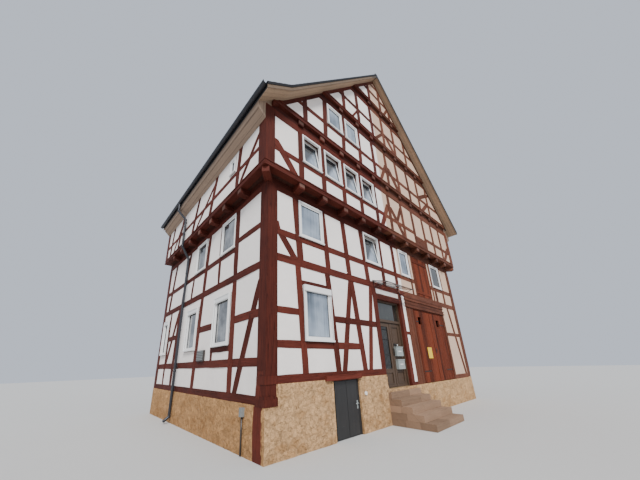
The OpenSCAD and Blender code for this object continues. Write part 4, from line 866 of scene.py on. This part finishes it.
def joistHead(shape, wall, face, along, z, reach):
    block = newBlock()
    wide, high, root = joistLook["wide"], joistLook["high"], joistLook["root"]
    for vert in block.verts:
        side, out, up = vert.co
        vert.co = onWall(wall, face, along + side * wide + math.copysign(joistLook["spread"], side),
                         z + (up + 0.5) * high,
                         reach + dice.uniform(-0.006, 0.0) if out > 0 else root)
    out = outward(wall, face)
    tip = onWall(wall, face, along, z + high / 2, reach)
    end = next(f for f in block.faces if abs((f.calc_center_median() - tip).dot(out)) < 0.02)
    lower = [e for e in end.edges if all(v.co.z < z + 0.01 for v in e.verts)]
    roundOff(block, lower, min(joistLook["nose"], reach * 0.9), 5)
    far = max((v.co - corner).dot(out) for v in block.verts)
    rim = [e for e in block.edges if all((v.co - corner).dot(out) > far - 0.02 for v in e.verts)
           and e.calc_face_angle(0) > 0.6]
    roundOff(block, rim, joistLook["rim"])
    start = onWall(wall, face, along, z + high / 2, root)
    across = onWall(wall, face, 1, 0, 0) - onWall(wall, face, 0, 0, 0)
    # painted shade: the heads' tone is shifted dark by 0.9 for the shade under the jetty
    layGrain(block, start, start + out, across, Vector((0, 0, 1)), dice.uniform(-1, 1) - 0.9, 0)
    bmesh.ops.recalc_face_normals(block, faces=block.faces)
    for one in block.faces:
        if one.normal.dot(out) > 0.8 and one.calc_area() > 0.004:
            one.material_index = 1
    pour(block, shape)


def cornerBeam(shape, x, angle):  # lies askew under the jetty's corner
    block = newBlock()
    turn = Matrix.Rotation(math.radians(angle), 4, "Z")
    spot = at(x, 0, joistLook["middle"])
    tail, head = joistLook["askew"]
    for vert in block.verts:
        run, across, up = vert.co
        vert.co = spot + turn @ Vector((tail if run < 0 else head, across * joistLook["wide"],
                                        up * joistLook["high"]))
    edges = [e for e in block.edges if all((v.co - spot).length > 0.15 for v in e.verts)]
    roundOff(block, edges, joistLook["rounded"])
    layGrain(block, spot, spot + turn @ Vector((-1, 0, 0)), turn @ Vector((0, 1, 0)),
             Vector((0, 0, 1)), 0.3, 0)
    pour(block, shape)


jetty = newShape()
for wall, x0, x1, places in (("front", 0, 10900, [p[0] * mm for p in secondPosts]),
                             ("left", 180, 7800, [0.93 * step for step in range(1, 8)]),
                             ("right", 180, 7800, [0.93 * step for step in range(1, 8)])):
    # painted shade: tone -1.7 darkens this rail in the recess under the sill beam
    layRails(jetty, wall, 0, [[x0, x1, 5860, 170]], back=0.0, depth=0.18, edge=0.01, tone=-1.7)
    for along in places:
        joistHead(jetty, wall, 0, along, 5.86, joistLook["storey"])
cornerBeam(jetty, 0, 45)
cornerBeam(jetty, houseWide, 135)
for face, z, group in ((second, secondTop, secondPosts), (third, 10010, atticPosts),
                       (fourth, 12030, loftPosts)):
    # painted shade: tone -1.9 darkens this rail in the recess under the gable's sill beam
    gableRail(jetty, "front", face, z, 170, inset=2, back=0.0, depth=0.18, tone=-1.9)
    for x, _, _ in group:
        if roofUnder(x) > z + 380:
            joistHead(jetty, "front", face, x * mm, z * mm, joistLook["attic"])
endPiece("jettyTimbers", jetty, [timber, endGrain], stands=["jetty_second", "jetty_attic"])
print("joist ends laid")

# moulded ledges along the sill beams, and the beams over the doors
ledgeLook = dict(depth=0.01, edge=0.007, wave=0.0015, tone=0.0)
ledges = newShape()
for wall, end in (("front", 11180), ("left", 7800), ("right", 7800)):
    for rise, high, out in ((0, 34, 0.016), (52, 20, 0.010), (140, 26, 0.013)):
        layRails(ledges, wall, second, [[-280, end, 6030 + rise, high]], back=-out, **ledgeLook)
for face, z in ((third, 8150), (fourth, 10180), (fifth, 12200)):
    for rise, high, out in ((0, 34, 0.016), (140, 26, 0.012)):
        gableRail(ledges, "front", face, z + rise, high, back=-out, **ledgeLook)
endPiece("sillLedges", ledges, [timber])

lintels = newShape()
beam(lintels, "front", 0, [(1600, 1236), (1600, 1330), (2880, 1246), (2880, 1342)], depth=0.01,
     back=-0.060, edge=0.012, wave=0.004, tone=1.6)
rails, *_ = framer(lintels, "front")
rails([[4130, 5530, 3490, 160]], back=0.0, depth=0.18)
for z, out in ((3450, 0.022), (3577, 0.0), (3704, 0.014)):
    rails([[5950, 9250, z, 126]], back=-out, depth=0.18, edge=0.014, wave=0.003)
for z, out in ((3448, 0.034), (3560, 0.030), (3700, 0.026), (3800, 0.026)):
    rails([[5900, 9300, z, 26]], back=-out, depth=0.02, edge=0.009, wave=0.001)
endPiece("doorBeams", lintels, [timber], stands=["door_lintels"])
print("ledges and door beams laid")

# windows: fixed frame, a dark ring round it painted as its shadow line, sash, rubber seal, pane;
# boxed ones stand prouder, have a roller box and a painted shadow line inside the box; tipped
# sashes lean inwards
windowLook = {"frame": 47, "sash": 46, "seal": 8, "joint": 9, "roller": 140, "out": 0.025,
              "tip": 0.14, "back": 0.084, "tippedBack": 0.04}


def windowUnit(shape, glass, wall, face, mid, bottom, wide, high, tip=0.0, box=False, deep=0.031,
               look=0):
    x0, x1, z0, z1 = mid - wide / 2, mid + wide / 2, bottom, bottom + high
    f, s, out = windowLook["frame"], windowLook["sash"], windowLook["out"]

    def ring(a, b, c, d, w, front, back, finish=0, edge=0.004, lean=0.0):
        quads = [upright(a, a + w, c, d), upright(b - w, b, c, d),
                 level(a + w, b - w, c, c + w), level(a + w, b - w, d - w, d)]
        for quad, sunk in zip(quads, (0, 0, 0.001, 0.001)):
            bar(shape, wall, face, quad, -front + sunk, back, edge, finish=finish,
                tilt=(c * mm, lean) if lean else None)

    ring(x0, x1, z0, z1, f, out, windowLook["tippedBack" if tip else "back"])
    if box:
        ring(x0 - 10, x1 + 10, z0 - 10, z1 - 2, 24, deep, 0.0)
        # painted shadow line: a thin dark ring inside the window box
        ring(x0 + 14, x1 - 14, z0 + 14, z1 - 26, 7, out + 0.002, 0.0, finish=1, edge=0)
    rim, inner = 18 if box else 8, f + s + 1
    # painted shadow line: the dark ring round the frame
    ring(x0 - rim, x1 + rim, z0 - rim - 8, z1 + 8, windowLook["joint"], 0.005, 0.0, finish=1,
         edge=0)
    ring(x0 + f + 3, x1 - f - 3, z0 + f + 3, z1 - f - 3, s, 0.002, 0.06, lean=tip)
    ring(x0 + inner, x1 - inner, z0 + inner, z1 - inner, windowLook["seal"], -0.012, 0.05,
         finish=1, edge=0, lean=tip)
    beam(glass, wall, face, upright(x0 + inner, x1 - inner, z0 + inner, z1 - inner), depth=0.045,
         back=0.025, edge=0, wave=0, tilt=((z0 + f) * mm, tip) if tip else None, slide=0,
         finish=1 if tip else look)
    if box:
        low = z1 - windowLook["roller"]
        bar(shape, wall, face, level(x0, x1, low, z1), -0.055, -0.02, 0.014)
        bar(shape, wall, face, level(x0 - 5, x1 + 5, low - 12, low + 2), -0.045, -0.02, 0.003)
    bar(shape, wall, face, level(x0 - 12, x1 + 12, z0 - 12, z0 + 26), -0.055 if box else -0.04,
        0.0, 0.006)


frames, panes = newShape(), newShape()
windowUnit(frames, panes, "front", 0, 1510, 2095, 920, 1290, box=True)
for window in firstWindows:
    windowUnit(frames, panes, "front", 0, *window, look=2 if window[0] > 9000 else 0,
               tip=windowLook["tip"] if window[0] == 4215 else 0.0)
for window in secondWindows:
    windowUnit(frames, panes, "front", second, *window, tip=windowLook["tip"])
for window in atticWindows:
    windowUnit(frames, panes, "front", third, *window)
beam(panes, "front", -0.144, upright(4190, 5470, 2870, 3430), depth=0.02, back=0.0, edge=0,
     wave=0, finish=2)
endPiece("frontWindows", frames, [whiteFrame, sealAndShadowLine], stands=["front_window_frames"])
endPiece("frontPanes", panes, [pane, tippedPane, darkPane], stands=["front_window_glass"])

frames, panes = newShape(), newShape()
for wall in ("left", "right"):
    for mid, wide in ((2050, 890), (4200, 880), (7080, 560)):
        windowUnit(frames, panes, wall, 0, mid, 2095, wide, 1290, box=True, deep=0.066)
    for window in sideFrame["firstWindows"]:
        windowUnit(frames, panes, wall, 0, *window)
    windowUnit(frames, panes, wall, second, 1400, 6830, 320, 500)
for window in backWindows:
    windowUnit(frames, panes, "back", 0, *window)
endPiece("sideWindows", frames, [whiteFrame, sealAndShadowLine], stands=["side_window_frames"])
endPiece("sidePanes", panes, [lacePane], stands=["side_window_glass"])
print("windows hung")

# rubble skin of the plinth: a fine grid pushed out stone by stone, its rim turned in except at
# the house's corners, where the neighbouring skin meets it
rubbleLook = {"cell": 0.027, "stones": (3.4, 6.2), "joint": 0.16, "swell": 0.014, "grain": 0.006,
              "least": 0.0025, "corner": 0.009, "sunk": -0.06, "bend": 0.06, "foot": 0.003}


def stoneAt(u, v, wall, name):  # how far the skin stands out, how little joint there is, its tone
    bend = rubbleLook["bend"] * sway(u * 3, v * 3, len(wall))
    near, points = noise.voronoi(Vector((u * rubbleLook["stones"][0] + bend,
                                         v * rubbleLook["stones"][1] + bend * 3,
                                         len(name) * 0.7)))
    joint = max(0.0, min(1.0, (near[1] - near[0] - 0.03) / rubbleLook["joint"]))
    swell = rubbleLook["swell"] * joint * (0.55 + 0.45 * noise.noise(points[0] * 5.1))
    out = rubbleLook["foot"] + swell + rubbleLook["grain"] * sway(u * 13, v * 13, 3)
    return out, joint, noise.noise(points[0] * 3.7) * 0.9


def rubble(name, wall, x0, x1, z1, gaps=(), square=()):
    shape = bmesh.new()
    jointLayer = shape.verts.layers.float.new("stoneJoint")
    toneLayer = shape.verts.layers.float.new("stoneTone")
    wide, cell = x1 - x0, rubbleLook["cell"]
    bmesh.ops.create_grid(shape, x_segments=round(wide / cell), y_segments=round(z1 / cell),
                          size=0.5)
    for vert in shape.verts:
        vert.co.x = x0 + (vert.co.x + 0.5) * wide
        vert.co.y = (vert.co.y + 0.5) * z1
    middles = [(face, face.calc_center_median()) for face in shape.faces]
    gone = [face for face, mid in middles
            if any(a < mid.x < b and c < mid.y < d for a, b, c, d in gaps)]
    bmesh.ops.delete(shape, geom=gone, context="FACES")
    for vert in shape.verts:
        u, v = vert.co.x, vert.co.y
        out, vert[jointLayer], vert[toneLayer] = stoneAt(u, v, wall, name)
        if any(abs(u - s) < 0.05 for s in square):
            out = rubbleLook["corner"]
        vert.co = onWall(wall, 0, u, v, max(rubbleLook["least"], out))
    inward = outward(wall, 0, rubbleLook["sunk"])
    shape.normal_update()
    if sum(f.normal.dot(inward) for f in shape.faces) > 0:
        bmesh.ops.reverse_faces(shape, faces=shape.faces)
    for face in shape.faces:
        face.smooth = True
    corners = [onWall(wall, 0, s, 0, rubbleLook["corner"]).xy for s in square]
    rim = [e for e in shape.edges if e.is_boundary and not any(
        all((v.co.xy - spot).length < 0.001 for v in e.verts) for spot in corners)]
    for edge in rim:
        edge.smooth = False
    turned = bmesh.ops.extrude_edge_only(shape, edges=rim)["geom"]
    bmesh.ops.translate(shape, verts=[v for v in turned if isinstance(v, bmesh.types.BMVert)],
                        vec=inward)
    for face in turned:
        if isinstance(face, bmesh.types.BMFace):
            face.smooth = False
    piece = toObject(name, shape, [ochreMasonry if wall == "left" else masonry])
    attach(piece, "house")


ends = {"front": -0.009, "back": 7.809, "right": 10.909}
rubble("frontRubble", "front", ends["front"], 4.13, 1.26,
       [(1.87, 2.84, -1, 2), (-1, 0.275, 0.88, 2)], [ends["front"]])
rubble("hallRubble", "front", 4.13, ends["right"], 0.88, [(4.0, 5.84, -1, 0.80)], [ends["right"]])
for name, wall, end, gaps in (("leftRubble", "left", "back", [(0.09, 0.35, -1, 2)]),
                              ("rightRubble", "right", "back", []),
                              ("backRubble", "back", "right", [])):
    rubble(name, wall, ends["front"], ends[end], 0.90, gaps, [ends["front"], ends[end]])
print("plinth faced with rubble")


# boxes that lie square to the front: x and z in millimetres, y in metres from the wall's face back
def frontBox(shape, x0, x1, z0, z1, y0, y1, lies=False, **more):
    bar(shape, "front", 0, (level if lies else upright)(x0, x1, z0, z1), y0, y1, **more)


def surround(shape, x0, x1, z0, z1, wide, y0, y1):
    frontBox(shape, x0, x0 + wide, z0, z1, y0, y1)
    frontBox(shape, x1 - wide, x1, z0, z1, y0, y1)
    frontBox(shape, x0 + wide, x1 - wide, z0, z0 + wide, y0, y1, lies=True)
    frontBox(shape, x0 + wide, x1 - wide, z1 - wide, z1, y0, y1, lies=True)


def frontRod(shape, start, end, radius, **more):
    rod(shape, at(*start), at(*end), radius, **more)


# entrance: mouldings, a barred light, handle, letter boxes with flaps, bell plate
leafLook = {"front": 0.130, "proud": 0.010, "low": (980, 1310), "upper": (2150, 2670),
            "light": (1378, 2682), "kick": (893, 935), "boxes": (1375, 1760)}
y0, y1 = leafLook["front"] - leafLook["proud"], leafLook["front"] + 0.002
leaf = newShape()
surround(leaf, 4308, 4717, *leafLook["low"], 20, y0, y1)
surround(leaf, 4296, 4729, *leafLook["light"], 26, y0, y1)
frontBox(leaf, 4203, 4822, *leafLook["kick"], y0 - 0.006, y1, lies=True, edge=0.008)
for x in (4375, 4440, 4512, 4584, 4650):
    frontRod(leaf, (x * mm, 0.124, 1.40), (x * mm, 0.124, 2.66), 0.006, finish=1)
for z in (1500, 1800, 2250, 2560):
    frontBox(leaf, 4318, 4707, z, z + 16, 0.116, 0.124, lies=True, finish=1, edge=0.002)
endPiece("leafMouldingsLeft", leaf, [entranceWood, ironwork], body="entrance_left")
leaf = newShape()
for panel in ("low", "upper"):
    surround(leaf, 4943, 5352, *leafLook[panel], 20, y0, y1)
frontBox(leaf, 4838, 5457, *leafLook["kick"], y0 - 0.006, y1, lies=True, edge=0.008)
frontBox(leaf, 4837, 4864, 936, 2778, y0, y1, edge=0.007)
frontBox(leaf, 4870, 4908, 1770, 2010, 0.124, y1, finish=1)
for z in (1.80, 1.97):
    frontRod(leaf, (4.889, 0.128, z), (4.889, 0.084, z), 0.008, finish=1)
frontRod(leaf, (4.889, 0.084, 1.78), (4.889, 0.084, 1.99), 0.010, finish=1)
frontBox(leaf, 4965, 5215, 2072, 2135, 0.114, y1, lies=True, finish=1)
frontRod(leaf, (5.165, 0.115, 2.103), (5.165, 0.106, 2.103), 0.024, finish=2, sides=16)
endPiece("leafMouldingsRight", leaf, [entranceWood, ironwork, whitePaint],
         body="entrance_right")
boxes = newShape()
for z in leafLook["boxes"]:
    frontBox(boxes, 4950, 5344, z, z + 287, 0.044, 0.129, edge=0.012, allEdges=True)
    frontBox(boxes, 4944, 5350, z + 262, z + 290, 0.030, 0.127, lies=True, edge=0.008,
             allEdges=True)
    frontBox(boxes, 4980, 5314, z + 205, z + 250, 0.038, 0.046, lies=True, edge=0.003)
    frontBox(boxes, 5060, 5234, z + 130, z + 158, 0.040, 0.046, lies=True, edge=0.002, finish=1)
endPiece("letterBoxShells", boxes, [letterMetal, whitePaint], body="entrance_right",
         stands=["letter_boxes"])
print("entrance dressed")

# barn door: boards on the leaves, iron straps, a bare yellow plate; boards of the hatch
barnLook = {"span": (892, 3378), "hole": (2880, 3150), "gap": 5, "straps": (1236, 2956)}


def boards(shape, edges, low, high, hole=None, front=0.010, back=0.022):
    half = barnLook["gap"] / 2
    for x0, x1 in zip(edges, edges[1:]):
        tone = dice.uniform(-1, 1)
        inHole = hole and x0 >= hole[0] - 1 and x1 <= hole[1] + 1
        for z0, z1 in ([(low, hole[2]), (hole[3], high)] if inHole else [(low, high)]):
            frontBox(shape, x0 + half, x1 - half, z0, z1, front + dice.uniform(0, 0.002), back,
                     tone=tone)


def strap(shape, x0, x1, z):
    frontBox(shape, x0, x1, z, z + 34, 0.004, 0.012, lies=True, finish=1, edge=0.002)


barn = newShape()
boards(barn, [6522, 6636, 6750, 6890, 7030, 7178, 7326, 7473, 7621, 7768], *barnLook["span"],
       (6750, 7030, *barnLook["hole"]))
frontBox(barn, 7736, 7767, 895, 3375, 0.003, 0.012)
for z, end in zip(barnLook["straps"], (7080, 6742)):
    strap(barn, 6530, end, z)
frontBox(barn, 7105, 7435, 1680, 2060, 0.005, 0.012, finish=2, edge=0.002)
endPiece("barnBoardsLeft", barn, [doorBoards, ironwork, yellowPlate], body="barn_left")
barn = newShape()
boards(barn, [7782, 7919, 8056, 8193, 8330, 8470, 8610, 8750, 8889, 9028], *barnLook["span"],
       (8330, 8610, *barnLook["hole"]))
for z, start in zip(barnLook["straps"], (8470, 8618)):
    strap(barn, start, 9020, z)
frontBox(barn, 7815, 7865, 1860, 2040, 0.004, 0.012, finish=1, edge=0.002)
frontRod(barn, (7.84, 0.006, 1.97), (7.84, -0.030, 1.95), 0.007, finish=1)
endPiece("barnBoardsRight", barn, [doorBoards, ironwork], body="barn_right")
hatch = newShape()
boards(hatch, [7102, 7262, 7425, 7585, 7748, 7912, 8074, 8236, 8398], 4007, 5708, front=0.001,
       back=0.012)
for z, tone in ((4120, 0.5), (5430, -0.5)):
    frontBox(hatch, 7104, 8396, z, z + 110, -0.014, 0.003, lies=True, tone=tone)
endPiece("hatchBoards", hatch, [doorBoards])
print("barn door and hatch boarded")

# cellar door: two flat sheets, a rim, handle and lock
cellarLook = {"span": (30, 1190), "handle": (2.719, -0.012, 0.68), "grip": 2.615}
cellar = newShape()
for x in (1932, 2358):
    frontBox(cellar, x, x + 420, *cellarLook["span"], 0.036, 0.042, edge=0.002)
for x in (1932, 2350, 2752):
    frontBox(cellar, x, x + 26, *cellarLook["span"], 0.031, 0.037, edge=0.002)
frontBox(cellar, 2700, 2738, 560, 740, 0.031, 0.038, finish=1, edge=0.002)
x, y, z = cellarLook["handle"]
for start, end in (((x, 0.034, z), (x, y, z)), ((x, y, z), (cellarLook["grip"], y, z))):
    frontRod(cellar, start, end, 0.008, finish=1)
endPiece("cellarSheets", cellar, [darkMetal, letterMetal], body="cellar_leaf")

# slim canopy frame with stays
canopyLook = {"bars": (4.012, 4.57, 5.13, 5.688), "wall": (-0.006, 4.050),
              "front": (-0.490, 3.902), "bar": 0.014, "stays": (4.08, 5.62),
              "bow": [(-0.010, 3.815), (-0.12, 3.822), (-0.26, 3.845), (-0.46, 3.902)]}
canopy = newShape()
for x in canopyLook["bars"]:
    frontRod(canopy, (x, *canopyLook["wall"]), (x, *canopyLook["front"]), canopyLook["bar"] * 0.8)
for edge in ("wall", "front"):
    frontRod(canopy, (canopyLook["bars"][0], *canopyLook[edge]),
             (canopyLook["bars"][-1], *canopyLook[edge]), canopyLook["bar"])
for x in canopyLook["stays"]:
    frontRod(canopy, (x, -0.008, 3.80), (x, -0.008, 4.05), 0.012)
    for a, b in zip(canopyLook["bow"], canopyLook["bow"][1:]):
        frontRod(canopy, (x, *a), (x, *b), 0.008)
endPiece("canopyFrame", canopy, [canopyMetal], stands=["canopy_brackets"])

# sandstone steps, stone by stone over a dark core
stepLook = {"rise": 160, "run": 0.27, "left": 4070, "right": 5830, "top": 0.10, "count": 5,
            "stone": 0.42}
steps = newShape()
left, right = stepLook["left"], stepLook["right"]
for tread in range(stepLook["count"]):
    nose = -(stepLook["top"] + stepLook["run"] * (stepLook["count"] - 1 - tread)) + 0.003
    z0, z1 = stepLook["rise"] * tread, stepLook["rise"] * (tread + 1)
    frontBox(steps, left + 14, right - 14, z0, z1 - 14, nose + 0.014, -0.004, finish=1)
    rows = max(1, round(-nose / stepLook["stone"]))
    cuts = [nose + (-0.006 - nose) * i / rows for i in range(rows + 1)]
    split = left + dice.uniform(600, 1150)
    for ya, yb in zip(cuts, cuts[1:]):
        for xa, xb in ((left + 2, split - 3), (split + 3, right - 2)):
            frontBox(steps, xa, xb, z0 + 3, z1, ya, yb - 0.005, lies=True, edge=0.014,
                     allEdges=True, tone=dice.uniform(-1, 1))
endPiece("stepStones", steps, [stepStone, stepJoint], stands=["entrance_steps"])
print("cellar door, canopy and steps done")

# small fittings on the walls: round plate, cable box and pipe, louvred box
fittings = newShape()
frontRod(fittings, (3.04, 0.0, 0.87), (3.04, -0.030, 0.87), 0.045, finish=1, sides=20)
bar(fittings, "left", 0, upright(690, 785, 670, 830), -0.085, 0, edge=0.010, finish=2)
rod(fittings, at(-0.040, 0.737, 0.02), at(-0.040, 0.737, 0.68), 0.018, finish=3)
bar(fittings, "left", 0, upright(2960, 3440, 1760, 2050), -0.045, 0, edge=0.006, finish=3)
for z in range(1790, 2020, 44):
    bar(fittings, "left", 0, upright(2990, 3410, z, z + 26), -0.062, -0.04, finish=2)
endPiece("wallFittings", fittings, [letterMetal, whitePaint, greyBox, canopyMetal])

# straps of the gutters and clips of the downpipes
drainLook = {"straps": 12, "first": -0.62, "apart": 0.78, "pipe": 5.2, "low": -0.067,
             "high": -0.347}
drains = newShape()
for flip, outer in ((lambda x: x, 0.57), (lambda x: houseWide - x, 0.72)):
    for step in range(drainLook["straps"]):
        y = drainLook["first"] + step * drainLook["apart"]
        rod(drains, at(flip(-outer - 0.064), y, 8.018), at(flip(-outer + 0.085), y, 8.040), 0.005,
            sides=6)
    for reach, z in (("low", 1.5), ("low", 3.3), ("low", 4.9), ("high", 6.45), ("high", 6.95)):
        x = flip(drainLook[reach])
        rod(drains, at(x, drainLook["pipe"], z), at(x, drainLook["pipe"], z + 0.035), 0.051,
            sides=16)
endPiece("gutterStraps", drains, [darkZinc])

# slates in rows that break joint, ridge tiles, and the trim along the front verge
slateLook = {"wide": 0.30, "show": 0.215, "long": 0.33, "thick": 0.009, "lift": 0.013,
             "cock": 0.012, "front": -0.722, "back": 8.145, "joint": 0.002, "least": 0.03}


def slateSlope(shape, foot, top):
    run = Vector((top[0] - foot[0], 0, top[1] - foot[1]))
    length, line = run.length, run.normalized()
    up, ahead = Vector((-line.z, 0, line.x)), Vector((0, 1, 0))
    if up.z < 0:
        up.negate()
    tones = shape.faces.layers.float["beamTone"]
    front, back, joint = slateLook["front"], slateLook["back"], slateLook["joint"]
    for row in range(math.ceil(length / slateLook["show"])):
        s0 = row * slateLook["show"]
        s1 = min(s0 + slateLook["long"], length - 0.01)
        slope = (line * (s1 - s0) - up * slateLook["cock"]).normalized()
        normal = slope.cross(ahead)
        if normal.z < 0:
            normal.negate()
        turn = Matrix((slope, ahead, normal)).transposed().to_4x4()
        y = front - (slateLook["wide"] / 2 if row % 2 else 0)
        while y < back - 0.02:
            ya, yb = max(y, front) + joint, min(y + slateLook["wide"], back) - joint
            y += slateLook["wide"]
            if yb - ya < slateLook["least"]:
                continue
            middle = (at(foot[0], (ya + yb) / 2, foot[1]) + line * ((s0 + s1) / 2)
                      + up * slateLook["lift"])
            size = Matrix.Diagonal(Vector((s1 - s0, yb - ya, slateLook["thick"], 1)))
            made = bmesh.ops.create_cube(
                shape, size=1.0, matrix=Matrix.Translation(middle) @ turn @ size)["verts"]
            tone = dice.uniform(-1, 1)
            for face in {f for v in made for f in v.link_faces}:
                face[tones] = tone


slates = newShape()
slateSlope(slates, (-0.52, 8.015), (0.25, 8.60))
slateSlope(slates, (0.235, 8.584), (5.45, 14.2))
slateSlope(slates, (11.57, 8.01), (5.45, 14.2))
endPiece("roofSlates", slates, [slate])

ridgeLook = {"count": 26, "first": -0.70, "apart": 0.3394, "wide": (0.116, 0.104), "long": 0.37,
             "height": 14.124}
ridge = newShape()
for step in range(ridgeLook["count"]):
    y = ridgeLook["first"] + step * ridgeLook["apart"]
    block = newShape()
    turn = Matrix.Rotation(math.radians(-90), 4, "X")
    bmesh.ops.create_cone(
        block, cap_ends=True, segments=14, radius1=ridgeLook["wide"][0],
        radius2=ridgeLook["wide"][1], depth=ridgeLook["long"],
        matrix=Matrix.Translation(at(5.45, y + 0.17, ridgeLook["height"])) @ turn)
    for face in block.faces:
        face[block.faces.layers.float["beamTone"]] = dice.uniform(-0.6, 0.6)
        face.smooth = len(face.verts) == 4
    pour(block, ridge)
endPiece("ridgeTiles", ridge, [slate], stands=["ridge_cap"])

# each run of the verge in millimetres, then its dark edge and the barge board under it
vergeRuns = [((-520, 8014), (250, 8600)), ((250, 8600), (5450, 14200)),
             ((11570, 8010), (5450, 14200))]
trim = newShape()
for (xa, za), (xb, zb) in vergeRuns:
    for top, low, out, finish in ((4, -70, 0.024, 1), (-68, -186, 0.012, 0)):
        quad = [(x, z + off) for x, z in ((xa, za), (xb, zb)) for off in (low, top)]
        bar(trim, "front", 0.70, quad, -out, 0.0, finish=finish)
endPiece("vergeTrim", trim, [shadedBarge, vergeEdge])
print("roof covered")

# studio: pale floor, soft sky, one soft sun
studio = {"floor": 60, "tone": (0.52, 0.51, 0.49), "sky": (0.80, 0.87, 1.0), "skyLight": 0.80,
          "sun": 4.25, "sunAngle": 20, "sunTurn": (47, 0, -31)}
shape = bmesh.new()
bmesh.ops.create_grid(shape, x_segments=1, y_segments=1, size=studio["floor"])
floorFinish = makeFinish("studioFloor", studio["tone"], 0.9, (3, 0.01), (0.1, 0.01))
toObject("studioFloor", shape, [floorFinish])

world = bpy.data.worlds.new("studioSky")
world.use_nodes = True
sky = world.node_tree.nodes["Background"].inputs
sky["Color"].default_value = (*studio["sky"], 1)
sky["Strength"].default_value = studio["skyLight"]
bpy.context.scene.world = world
sunData = bpy.data.lights.new("softSun", "SUN")
sunData.energy, sunData.angle = studio["sun"], math.radians(studio["sunAngle"])
newObject("softSun", sunData).rotation_euler = [math.radians(turn) for turn in studio["sunTurn"]]
print("studio lit")
